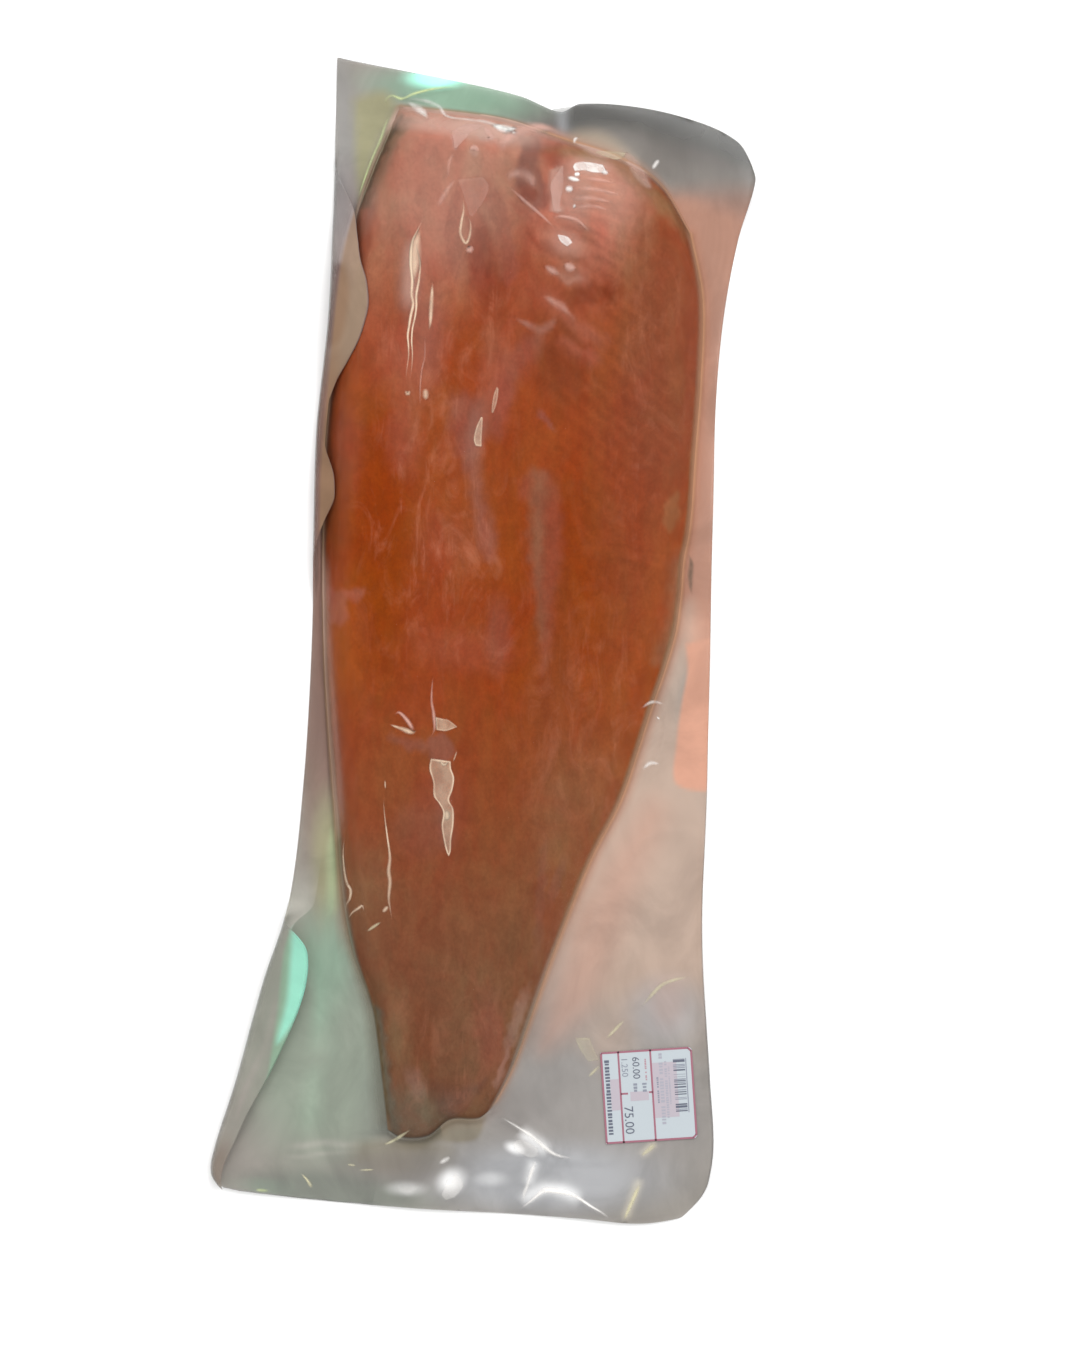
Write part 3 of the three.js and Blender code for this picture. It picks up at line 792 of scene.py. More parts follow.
def addFlesh():
    a = stops(1, flesh["acrossSteps"], 0.6)[None, :]
    b = stops(1, flesh["alongSteps"], 0.4)[:, None]
    p = planPoint(a, b)
    bm = bmesh.new()
    sheetMesh(bm, p.real, p.imag, flesh["base"] + fleshTop(a, b), a, b, 1)
    rim = bmesh.ops.extrude_edge_only(bm, edges=[e for e in bm.edges if e.is_boundary])["geom"]
    for v in rim:
        if isinstance(v, bmesh.types.BMVert):
            v.co.z = flesh["bottom"] * mm
    underside = bmesh.ops.contextual_create(bm, geom=[e for e in bm.edges if e.is_boundary])["faces"]
    for face in underside:
        face.material_index = 1
    bmesh.ops.recalc_face_normals(bm, faces=bm.faces)
    piece = finishPiece("salmonSide", bm, (fleshMaterial(), skinMaterial()))
    paintFlesh(piece.data)
    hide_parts("vacuum_pouch")


film = {
    "upper": 0.9,
    "lower": 0.08,
    "overFish": 0.45,
    "bridgeHeight": 2.6,
    "bridgeReach": 2.0,
    "rippleHeights": (0.4, 0.14),
    "rippleSizes": (38, 15),
    "roughness": 0.07,
    "clear": (0.97, 0.97, 0.965, 1),
    "foldSteps": 12,
    "bendSteps": 14,
    "levelSteps": 8,
    "fishSteps": 102,
    "bellySteps": 52,
    "lowerFishSteps": 12,
    "lowerBellySteps": 12,
    "tailSteps": 46,
    "alongSteps": 300,
    "headSteps": 30,
    "corners": [(0, 0, 9), (3, 0, 15), (3, 3, 9)],
    # how far from its edges the two sheets part, in shares of the end and side blocks and in millimetres
    "closing": {"end": 0.05, "side": 0.04, "free": 1.6},
    "backBridge": 1.25,
    "clouds": ((1, 0.7, 1), 0.5, 26.0, 4.0, 0.6, 0.8),
    "crinkles": ((1, 0.6, 1), 0.0, 45.0, 2.0, 0.5),
    "deepestWave": -0.35,
}

# ridges in the film, beside and beyond the fish
filmRidges = [
    ridge(2.2, 1.6, (7, -260), (23, -270), (32, -277), (45, -284), (59, -285)),
    ridge(2.6, 1.2, (28, -286), (24, -298), (21, -309)),
    ridge(2.4, 1.2, (18, -314), (26, -308), (34, -302), (49, -304), (59, -311), (70, -319)),
    ridge(2.4, 1, (86, -297), (81, -308), (76, -320)),
    ridge(2.6, 1.1, (56, -241), (62, -225), (70, -214), (83, -199), (97, -189), (113, -185)),
    ridge(3, 1.2, (-18, -308), (-12, -299), (-9, -290)),
    ridge(2, 0.5, (-129, -279), (-90, -275), (-46, -277), (-8, -279)),
    ridge(1.6, 0.45, (9, -286), (53, -287), (91, -285), (122, -285)),
    ridge(3.4, 0.8, (64, -137), (78, -121), (91, -107), (113, -103)),
    ridge(3.6, 0.7, (50, -189), (64, -176), (86, -159), (113, -145)),
    ridge(2, 0.7, (86, -82), (94, -68), (99, -52), (101, -33)),
    ridge(1.6, 1.1, (43, 293), (43, 285), (43, 277)),
    ridge(1.6, 0.8, (-46, 297), (-33, 297), (-25, 293), (-20, 287)),
    ridge(2, 0.9, (-53, 296), (-40, 299), (-26, 303), (-14, 304)),
    ridge(2.2, 0.9, (75, 269), (84, 261), (90, 250), (92, 241)),
    ridge(1.6, 0.7, (-101, -292), (-97, -297), (-94, -302)),
    ridge(5, 0.6, (-73, -203), (-85, -231), (-89, -258)),
]

# milky tints of the film's margins, laid one over another, among them painted reflections, glints and shade
# as noted at each. Those on the curl colour only the turned-up film
filmColours = {
    "base": linear(162, 156, 148),
    "grey": linear(166, 161, 157),
    "paleGrey": linear(186, 188, 192),
    "darkGrey": linear(92, 92, 90),
    "midGrey": linear(128, 122, 118),
    "flap": linear(176, 162, 158),
    "flapGrey": linear(158, 155, 151),
    "flapRim": linear(160, 148, 146),
    "olive": linear(168, 164, 130),
    "oliveGlow": linear(188, 202, 158),
    "outerLight": linear(214, 202, 196),
    "bulge": linear(154, 126, 119),
    "rimLight": linear(184, 150, 142),
    "green": linear(150, 184, 160),
    "greenLight": linear(188, 216, 190),
    "mint": linear(172, 255, 232),
    "deepMint": linear(184, 230, 198),
    "greenGrey": linear(158, 168, 152),
    "dimGreen": linear(132, 138, 128),
    "pink": linear(190, 142, 121),
    "salmon": linear(226, 168, 142),
    "blush": linear(206, 158, 138),
    "beige": linear(200, 175, 158),
    "mauve": linear(142, 110, 98),
    "brown": linear(124, 98, 91),
    "outer": linear(196, 192, 182),
    "curlBrown": linear(160, 136, 120),
    "headPink": linear(222, 172, 158),
    "cream": linear(224, 214, 190),
    "white": linear(250, 250, 250),
    "fringe": linear(190, 170, 146),
    "fishGlow": linear(186, 128, 102),
    "tongue": linear(144, 134, 114),
    "pocket": linear(226, 190, 174),
    "backEdge": linear(160, 128, 98),
    "bellyEdge": linear(198, 148, 112),
}

filmAreas = [
    oval("beige", (91, -132), (49.5, 93.5), soft=0.8),
    oval("grey", (64, -258), (71.5, 46.8), soft=1),
    shape("pink", 16, 1, (75, 240), (119, 248), (152, 240), (152, 11), (119, -5), (97, 11), (86, 132)),
    shape("beige", 12, 0.8, (94, 11), (113, 22), (119, 0), (106, -33), (106, -82), (75, -93), (86, -44)),
    shape("salmon", 3, 1, (111, -2), (130, 0), (130, -79), (106, -79), (106, -55), (109, -33), (112, -16)),
    oval("salmon", (120, 0), (7.7, 22), 0.5),
    shape("blush", 24, 0.55, (42, -176), (53, -159), (64, -129), (75, -110), (91, -88), (99, -96),
        (86, -132), (69, -176), (58, -203), (42, -220), (31, -225), (34, -198)),
    shape("midGrey", 9, 1, (20, 302), (45, 295), (46, 280), (28, 283), (9, 291)),
    # painted shade where the film's corner at the head end slopes away
    shape("darkGrey", 20, 0.95, (43, 306), (64, 308), (108, 303), (157, 270), (157, 253), (119, 262),
        (86, 275), (64, 279), (43, 280)),
    oval("midGrey", (113, 258), (44, 12.1), 0.6, turn=-24),
    # painted highlight at the notch
    band("paleGrey", 3.4, 0.5, (43, 295), (43, 286), (44, 277)),
    # painted reflections of green light on the head end's margin
    oval("green", (-16, 300), (41.2, 11), turn=-8),
    oval("mint", (-26, 309), (14.3, 5), bright=True),
    shape("headPink", 9, 0.85, (-45, 293), (-30, 291), (-8, 287), (20, 283), (43, 277), (58, 269),
        (40, 270), (9, 272), (-19, 279), (-43, 285)),
    shape("fringe", 9, 0.55, (45, 276), (52, 280), (66, 279), (77, 271), (90, 255), (86, 250), (73, 262),
        (58, 266), (48, 269)),
    oval("paleGrey", (100, -204), (18.7, 16.5), 0.6),
    oval("beige", (70, -220), (11, 16.5), 0.5, soft=1.5),
    oval("midGrey", (15, -257), (13.2, 12.1), 0.45, turn=20, soft=1.5),
    shape("olive", 9, 1, (-73, 297), (-55, 302), (-48, 293), (-57, 275), (-69, 242), (-74, 259)),
    oval("flapGrey", (-79, 264), (8.2, 60.5), soft=0.8),
    oval("flap", (-76, 223), (8.8, 33), soft=1),
    # painted reflections along the back's margin
    oval("mauve", (-87, 66), (12.1, 104.5), soft=0.9),
    oval("mauve", (-90, -49), (12.1, 66), 0.85),
    oval("greenGrey", (-89, -217), (45.1, 71.5), soft=0.8),
    oval("olive", (-86, -121), (8.2, 33), soft=1.1),
    # painted reflection of green light
    shape("oliveGlow", 5, 0.7, (-84, -104), (-81, -115), (-80, -132), (-79, -145), (-84, -151), (-86, -134),
        (-86, -115)),
    # painted reflection of green light
    oval("green", (-83, -173), (8.2, 27.5), 0.6, soft=1.5),
    oval("dimGreen", (-65, -258), (7.2, 20.9), 0.45),
    oval("tongue", (-95, -115), (7.2, 44), 0.25),
    # painted reflections of green light
    band("greenLight", 3, 0.3, (-90, -198), (-91, -214), (-89, -231)),
    band("greenLight", 4.4, 0.3, (-91, -231), (-95, -253), (-93, -275)),
    oval("greenLight", (-119, -300), (12.1, 3.9), 0.5, turn=-8),
    band("outer", 2, 0.5, (-110, -281), (-90, -276), (-67, -279)),
    band("outer", 1.4, 0.4, (-107, -285), (-89, -282), (-74, -281)),
    shape("tongue", 8, 0.6, (-73, -276), (-51, -274), (-30, -276), (-16, -280), (-18, -291), (-41, -293),
        (-68, -289)),
    # painted reflection of green light
    oval("green", (-91, -189), (4.4, 33), 0.5, turn=8),
    oval("dimGreen", (-79, -303), (52.3, 10.5), 0.8, turn=-5, soft=0.9),
    oval("paleGrey", (34, -296), (60.5, 18.7), 0.8, soft=1),
    oval("midGrey", (-46, -290), (34.1, 9.9), 0.5),
    shape("tongue", 4, 0.8, (-31, -274), (-19, -263), (-2, -262), (1, -259), (-3, -273), (-13, -276)),
    shape("brown", 5, 0.85, (-82, 205), (-76, 204), (-73, 193), (-74, 177), (-78, 163), (-85, 160)),
    # painted highlight along the curl's free edge
    band("flapRim", 4, 0.7, (-71, 229), (-65, 208), (-62, 187), (-66, 171), (-76, 153), (-84, 138),
        on="curl"),
    oval("outer", (-124, -217), (13.2, 82.5), turn=-18, soft=0.7, on="curl"),
    # painted reflections of green light on the curl
    shape("deepMint", 2.6, 1, (-106, -159), (-109, -170), (-112, -198), (-116, -226), (-119, -242),
        (-122, -247), (-109, -229), (-98, -208), (-89, -181), (-95, -165), (-102, -156), on="curl"),
    shape("mint", 5, 1, (-105, -159), (-106, -176), (-108, -198), (-113, -220), (-107, -214), (-98, -200),
        (-89, -181), (-95, -165), (-101, -156), on="curl", bright=True),
    oval("outer", (-132, -255), (5, 24.2), 0.5, turn=-20, on="curl"),
    # painted highlights on the curl's outer zone
    band("outerLight", 2.4, 0.6, (-112, -192), (-119, -220), (-128, -242), (-135, -259), on="curl"),
    band("outerLight", 1.4, 0.6, (-122, -225), (-131, -247), (-136, -264), on="curl"),
    oval("curlBrown", (-146, -290), (5.5, 16.5), 0.8, turn=-18, on="curl"),
    # painted reflection on the curl
    shape("mauve", 5, 0.85, (-85, 163), (-76, 163), (-73, 171), (-69, 187), (-73, 205), (-67, 193),
        (-65, 177), (-73, 161), (-80, 145), (-84, 132), (-86, 132), on="curl"),
    # painted shade beside the tail's left edge
    band("dimGreen", 3, 0.7, (-65, -192), (-62, -209), (-59, -231), (-57, -253), (-54, -271), fade=0.1),
    band("tongue", 3, 0.8, (-53, -275), (-44, -277), (-33, -276), (-24, -270), (-18, -264), (-8, -263),
        (1, -260)),
    oval("bulge", (-73, 181), (8.2, 27.5), 0.85, soft=1, on="curl"),
    # painted highlight along the curl's free edge
    band("rimLight", 3, 0.8, (-67, 229), (-68, 219), (-67, 208), (-64, 196), (-63, 185), (-63, 179),
        (-67, 169), (-72, 158), (-77, 148), (-82, 137), (-87, 121), (-86, 110), (-84, 99), (-81, 88),
        (-81, 77), (-86, 66), on="curl"),
    # painted glints on the tail margin's wrinkles
    band("white", 3.6, 0.7, (19, -269), (27, -275), (36, -282), bright=True),
    oval("white", (17, -279), (5, 2.8), 0.7, turn=-20, bright=True),
    oval("white", (-18, -297), (6.6, 5.5), 0.75, turn=30, soft=1.6, bright=True),
    oval("white", (4, -296), (7.7, 3.3), 0.3, soft=1.5, bright=True),
    band("white", 4, 0.6, (20, -310), (26, -304), (35, -301), (45, -303), (54, -308), fade=0.2,
        bright=True),
    band("white", 3.4, 0.5, (28, -285), (26, -292), (24, -300), bright=True),
    band("cream", 2.6, 0.5, (86, -295), (82, -306), (77, -319), fade=0.2, bright=True),
    band("cream", 2.4, 0.4, (95, -275), (90, -280), (86, -284), bright=True),
    oval("white", (-43, -301), (8.8, 3.3), 0.35, soft=1.5, bright=True),
    oval("paleGrey", (-80, 241), (6.6, 19.8), 0.3),
    oval("blush", (-78, -147), (3.9, 18.7), 0.3),
    oval("blush", (101, -199), (8.8, 13.2), 0.25),
    oval("beige", (59, -220), (11, 9.4), 0.25),
    oval("pink", (54, -156), (4.4, 14.3), 0.3, turn=-20),
]

# where the film stands off the fish, it is a little milky. Some of these areas are painted sheen and
# highlights over the head end, and one is painted light over the shadow along the back edge
filmPocketsAndSheen = [
    band("pocket", 5.4, 0.34, (-37, 221), (-39, 208), (-40, 193), (-40, 176)),
    shape("pocket", 6, 0.14, (-16, 250), (-8, 254), (3, 252), (4, 242), (-2, 229), (-6, 214), (-12, 218),
        (-12, 237)),
    band("pocket", 4.2, 0.1, (-24, -64), (-22, -88), (-19, -116), fade=0.2),
    # painted sheen and highlights over the head end
    oval("pocket", (-19, 245), (36.3, 41.8), 0.13),
    oval("pocket", (58, 258), (13.2, 6.6), 0.4),
    oval("pocket", (50, 244), (11, 17.6), 0.36, turn=8, soft=1.5),
    oval("pocket", (-21, 282), (36.3, 7.2), 0.42, turn=-8),
    oval("pocket", (69, 242), (16.5, 18.7), 0.24, soft=1.6),
    oval("pocket", (45, 216), (9.9, 7.7), 0.26, turn=-20, soft=1.5),
    oval("pocket", (48, 199), (8.8, 5.5), 0.14, turn=-20, soft=1.5),
    oval("pocket", (-30, 171), (8.8, 27.5), 0.08, soft=1.6),
    oval("pocket", (-62, 239), (5.5, 14.3), 0.14, turn=-10, soft=1.5),
    oval("pocket", (14, 280), (12.1, 3.9), 0.4, turn=-8),
    oval("pocket", (-2, 279), (29.7, 7.7), 0.55, turn=-9, soft=1.5),
    # painted light over the shadow along the back edge
    band("pocket", 2.8, 0.28, (-86, 51), (-86, 39), (-86, 11), (-83, -33), (-80, -71), (-78, -110),
        fade=0.15),
    oval("pocket", (-4, 112), (4.4, 9.9), 0.12, turn=-6, soft=1.5),
    shape("pocket", 1.8, 0.42, (37, 257), (43, 259), (44, 248), (42, 240), (43, 233), (37, 233), (36, 242)),
    oval("pocket", (21, 240), (9.4, 14.3), 0.06, turn=24, soft=0.8),
    shape("pocket", 5, 0.5, (50, 274), (53, 277), (64, 277), (76, 270), (79, 269), (70, 264), (59, 266)),
    shape("pocket", 3, 0.4, (76, 269), (80, 268), (87, 260), (92, 248), (89, 247), (82, 254)),
    shape("pocket", 7, 0.1, (-40, 217), (-35, 220), (-28, 215), (-29, 203), (-32, 187), (-35, 165),
        (-41, 171), (-44, 198)),
    oval("pocket", (-3, 116), (5.5, 19.8), 0.1, turn=-12, soft=1),
    oval("pocket", (45, 218), (6.6, 5.5), 0.2, turn=-10, soft=0.8),
    shape("pocket", 2, 0.45, (-47, 297), (-40, 296), (-31, 291), (-30, 284), (-35, 287), (-44, 293)),
    shape("pocket", 4, 0.22, (-32, 298), (-24, 295), (-2, 291), (20, 285), (34, 282), (42, 279), (34, 280),
        (17, 278), (-2, 284), (-21, 287), (-29, 294)),
]

filmHaze = {
    "margin": 0.78,
    "overFish": 0.004,
    "lower": (0.3, 0.85),
    "lowerReach": (5, 1),
    "edge": 0.52,
    "edgeReach": 0.6,
    "scale": 0.74,
    "pocketTint": 3,
    "edgeTint": 0.7,
    "tintReach": (2.4, 0.4),
    "tintBack": [(-230, 0.25), (-150, 1)],
    "tintTail": 5,
    "rim": 1.2,
    "rimPower": 1.5,
    "besideReach": 8.0,
    # painted shade on the film beside the back edge, by place along it
    "shadeBesideBack": [(-265, 0.34), (-200, 0.28), (-120, 0.16), (60, 0.16), (150, 0.05), (250, 0)],
    "besideBelly": [(-230, 0.1), (-180, 0.3), (-130, 0.65), (-60, 0.6), (40, 0.6), (150, 0.6), (230, 0.4)],
    "rimBack": [(-270, 1.2), (-205, 1.5), (-170, 5), (-110, 6), (-60, 3.5), (0, 2.5), (110, 2), (150, 1.4)],
    "rimBelly": [(-260, 4), (-200, 5), (-150, 3), (-60, 3), (0, 3), (120, 3.6), (200, 6.5)],
    "rimHead": [(-46, 7), (30, 7), (50, 5), (110, 5)],
}

filmGloss = {"fish": 0.3, "fishEdge": 0.06, "edgeReach": (8, 24), "margin": 0.35, "marginReach": 6,
    "curl": 0.15}


def filmRise(a, b, gap):  # how high the upper film stands over its margins' level
    a, b = np.broadcast_arrays(a, b)
    inside = (a > 1) & (a < 2) & (b > 1) & (b < 2)
    onFish = np.clip(a, 1, 2), np.clip(b, 1, 2)
    body = np.where(inside, fleshTop(*onFish), 0)
    edge = np.where(inside, nearest(edgeDistances(*onFish)), 0)
    bridge = film["bridgeHeight"] * np.exp(-((gap + edge) / film["bridgeReach"]) ** 2)
    joined = 0.5 * (body + bridge + np.sqrt((body - bridge) ** 2 + (0.5 * bridge) ** 2))
    return joined + film["overFish"] * smooth(edge, 0, 1.5)


def filmWaves(p, gap):
    waves = film["rippleHeights"][0] * ripples(p, film["rippleSizes"][0], 21)
    waves = waves + film["rippleHeights"][1] * ripples(p, film["rippleSizes"][1], 22)
    for line in filmRidges:
        waves = waves + line["height"] * lineShare(p, line)
    return np.maximum(waves, film["deepestWave"]) * clearOfLabel(p) * smooth(gap, 0, 8)


def filmSide(direction, a, b):  # rows of one side, from the back margin's free edge to the belly side
    steps = (shares(film[key]) for key in ("foldSteps", "bendSteps", "levelSteps"))
    x, y, z, backA = backMargin(b, *steps)
    rows = b[:, None]
    half = (film["upper"] - film["lower"]) / 2
    middle = (film["upper"] + film["lower"]) / 2
    z = z + middle + marginLift(backA, rows, x + 1j * y)
    turnX, turnZ = np.gradient(x, axis=1), np.gradient(z, axis=1)
    size = np.hypot(turnX, turnZ)
    inward = np.cumsum(size[:, ::-1], axis=1)[:, ::-1] - size[:, -1:]
    closing = film["closing"]
    endTaper = smooth(rows, 0, closing["end"]) * smooth(rows, 3, 3 - closing["end"])
    offset = direction * half * endTaper * smooth(size.cumsum(1) - size[:, :1], 0, closing["free"])
    x, z = x - offset * turnZ / size, z + offset * turnX / size
    p = planPoint(a[None, :], rows)
    gap = outsideGap(a[None, :], rows)
    restZ = marginLift(a[None, :], rows, p) + middle
    restZ = restZ + direction * half * endTaper * smooth(a, 3, 3 - closing["side"])[None, :]
    if direction > 0:
        backGap = np.hypot(inward, outsideGap(np.ones(1), rows))
        bridge = film["bridgeHeight"] * film["backBridge"]
        z = z + bridge * np.exp(-(backGap / film["bridgeReach"]) ** 2)
        waves = filmWaves(p, gap) * endTaper * smooth(a, 3, 2.9)[None, :]
        restZ = restZ + filmRise(a[None, :], rows, gap) + waves
    x, y, z = np.hstack([x, p.real]), np.hstack([y, p.imag]), np.hstack([z, restZ])
    grid = np.hstack([backA, a[None, :] + 0 * rows])
    curl = np.zeros(x.shape)
    curl[:, :film["foldSteps"] + film["bendSteps"]] = 1
    return x, y, z, grid, curl


def roundCorners(x, y):  # the corner's square patch squeezed into a quarter circle
    p = x + 1j * y
    for a, b, radius in film["corners"]:
        corner = planPoint(a, b)
        first = planPoint(a + (0.3 if a < 1 else -0.3), b) - corner
        second = planPoint(a, b + (0.3 if b < 1 else -0.3)) - corner
        first, second = first / abs(first), second / abs(second)
        across = 1 - ((p - corner) * np.conj(second)).imag / (first * np.conj(second)).imag / radius
        along = 1 - ((p - corner) * np.conj(first)).imag / (second * np.conj(first)).imag / radius
        inside = (across > 0) & (along > 0)
        lead = across * np.sqrt(np.clip(1 - along ** 2 / 2, 0, 1))
        trail = along * np.sqrt(np.clip(1 - across ** 2 / 2, 0, 1))
        p = np.where(inside, corner + radius * ((1 - lead) * first + (1 - trail) * second), p)
    return p.real, p.imag


def paintFilm(mesh):
    p, a, b, part = placeOf(mesh)
    a, b = np.clip(a, 0, 3), np.clip(b, 0, 3)
    shown = np.tile(np.array(filmColours["base"]), (p.size, 1))
    for area in filmAreas:
        place = part > 0.5 if area.get("on") == "curl" else 1
        shown = layOver(shown, patchShare(p, area) * place, filmColours[area["colour"]])
    gap = outsideGap(a, b)
    edges = edgeDistances(np.clip(a, 1, 2), np.clip(b, 1, 2))
    inside = nearest(edges)
    byBack = smooth(edges["back"], valueAt(filmHaze["rimBack"], p.imag), 0)
    byBelly = smooth(edges["belly"], valueAt(filmHaze["rimBelly"], p.imag), 0)
    byHead = smooth(edges["head"], valueAt(filmHaze["rimHead"], p.real), 0)
    narrow = np.where(gap > 0, 1, smooth(inside, filmHaze["rim"], 0))
    rim = np.maximum(np.maximum.reduce([byBack, byBelly, byHead]) ** filmHaze["rimPower"], narrow)
    haze = mix(filmHaze["overFish"], filmHaze["edge"], rim)
    haze = mix(haze, filmHaze["margin"], smooth(gap, 0, filmHaze["edgeReach"]))
    onCurl, level = part > 0.5, part < 0.5
    byBackEdge = edges["back"] <= edges["belly"]
    beside = smooth(gap, filmHaze["besideReach"], 0) * level
    glow = beside * valueAt(filmHaze["besideBelly"], p.imag) * ~byBackEdge
    shown = layOver(shown, glow, filmColours["fishGlow"])
    edgeTint = narrow * smooth(gap, *filmHaze["tintReach"]) * level * filmHaze["edgeTint"]
    edgeTint = edgeTint * smooth(edges["tail"], 0, filmHaze["tintTail"])
    tint = edgeTint * byBackEdge * valueAt(filmHaze["tintBack"], p.imag)
    shown = layOver(shown, tint, filmColours["backEdge"])
    shown = layOver(shown, edgeTint * ~byBackEdge, filmColours["bellyEdge"])
    # painted shade on the film beside the back edge
    shown[:, :3] *= 1 - (beside * valueAt(filmHaze["shadeBesideBack"], p.imag) * byBackEdge)[:, None]
    haze = np.where(onCurl, filmHaze["margin"], haze)
    onFish = (gap < 0.5) & level
    for pocket in filmPocketsAndSheen:
        share = patchShare(p, pocket)
        haze = np.maximum(haze, share * level)
        shown = layOver(shown, np.minimum(filmHaze["pocketTint"] * share, 1) * onFish,
            filmColours["pocket"])
    lower = mix(*filmHaze["lower"], smooth(gap, *filmHaze["lowerReach"]))
    haze = np.where(part < -0.5, lower, haze)
    # the areas marked bright, painted glints and reflections, cover the film fully and keep their full
    # colour
    bright = np.zeros(p.shape)
    for area in filmAreas:
        if area.get("bright"):
            bright = np.maximum(bright, patchShare(p, area) * (onCurl | (area.get("on") != "curl")))
    haze = mix(haze, 1.0, bright * (part > -0.5))
    shown[:, :3] *= mix(filmHaze["scale"], 1, bright)[:, None]
    onTop = mix(filmGloss["fishEdge"], filmGloss["fish"], smooth(inside, *filmGloss["edgeReach"]))
    beyond = smooth(gap, 0, filmGloss["marginReach"])
    gloss = np.where(onCurl, filmGloss["curl"], mix(onTop, filmGloss["margin"], beyond))
    paint(mesh, "filmGloss", gloss)
    paint(mesh, "filmColour", shown)
    paint(mesh, "filmHaze", haze)


def filmMaterial():
    shader = Shader("clearFilm")
    clear = shader.value("ShaderNodeBsdfTransparent", {"Color": film["clear"]})
    clouds = shader.ramp(shader.pattern(*film["clouds"]), 0.3, 0.7, 0.88, 1.12)
    colour = shader.shade(shader.attribute("filmColour", "Color"), clouds, clouds, clouds)
    veil = shader.value("ShaderNodeBsdfDiffuse", {"Color": colour})
    body = shader.value("ShaderNodeMixShader", {0: shader.attribute("filmHaze"), 1: clear, 2: veil})
    crinkles = shader.pattern(*film["crinkles"])
    bump = shader.value("ShaderNodeBump", {"Height": crinkles, "Strength": 0.3, "Distance": 0.0006})
    gloss = shader.value("ShaderNodeBsdfGlossy", {"Roughness": film["roughness"], "Normal": bump})
    mirror = shader.value("ShaderNodeFresnel", {"IOR": 1.45, "Normal": bump})
    mirror = shader.maths("MULTIPLY", mirror, shader.attribute("filmGloss"))
    return shader.finish(shader.value("ShaderNodeMixShader", {0: mirror, 1: body, 2: gloss}))


def addFilm():
    b = np.concatenate([stops(0, film["tailSteps"], 0), stops(1, film["alongSteps"], 0.3)[1:],
        stops(2, film["headSteps"], 0)[1:]])
    upperA = np.concatenate([stops(1, film["fishSteps"], 0.6), stops(2, film["bellySteps"], 0.2)[1:]])[1:]
    lowerA = np.concatenate([stops(1, film["lowerFishSteps"], 0), stops(2, film["lowerBellySteps"],
        0)[1:]])[1:]
    upper = filmSide(1, upperA, b)
    lower = filmSide(-1, lowerA, b)
    x, y, z, grid, curl = (np.hstack([top, bottom[:, -2::-1]]) for top, bottom in zip(upper, lower))
    curl[:, upper[0].shape[1]:] = -1
    curl[:, -1] = 1
    x, y = roundCorners(x, y)
    bm = bmesh.new()
    sheetMesh(bm, x, y, z, grid, b[:, None] + 0 * x, curl)
    layer = bm.verts.layers.float_vector["grid"]
    flat = {v for v in bm.verts if v[layer][2] < 0 and 1 < v[layer][0] < 2 and 1 <= v[layer][1] <= 2}
    underFish = [f for f in bm.faces if all(v in flat for v in f.verts)]
    bmesh.ops.dissolve_faces(bm, faces=underFish, use_verts=True)
    bmesh.ops.remove_doubles(bm, verts=bm.verts, dist=2e-6)
    bmesh.ops.recalc_face_normals(bm, faces=bm.faces)
    surface = BVHTree.FromBMesh(bm)
    piece = finishPiece("pouchFilm", bm, (filmMaterial(),))
    paintFilm(piece.data)
    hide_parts("vacuum_pouch")
    return surface


# creases and pockets where the film has let go of the fish, as raised pale strips whose colours are painted
# glints and highlights, and in one place painted shade
glintAndShadeColours = {
    "cream": linear(240, 214, 186),
    "white": linear(255, 252, 248),
    "rose": linear(226, 180, 166),
    "lavender": linear(218, 178, 166),
    "lime": linear(214, 226, 170),
    "straw": linear(222, 216, 182),
    "dark": linear(96, 92, 80),
}

# a crease has a middle line and widths, a pocket two rails and a brighter rim
def crease(colour, share, widths, *path):
    return {"colour": colour, "share": share, "widths": widths, "path": path}


def pocket(colour, share, rim, left, right, rimWidth=1):
    return {"colour": colour, "share": share, "rim": rim, "left": left, "right": right,
        "rimWidth": rimWidth}


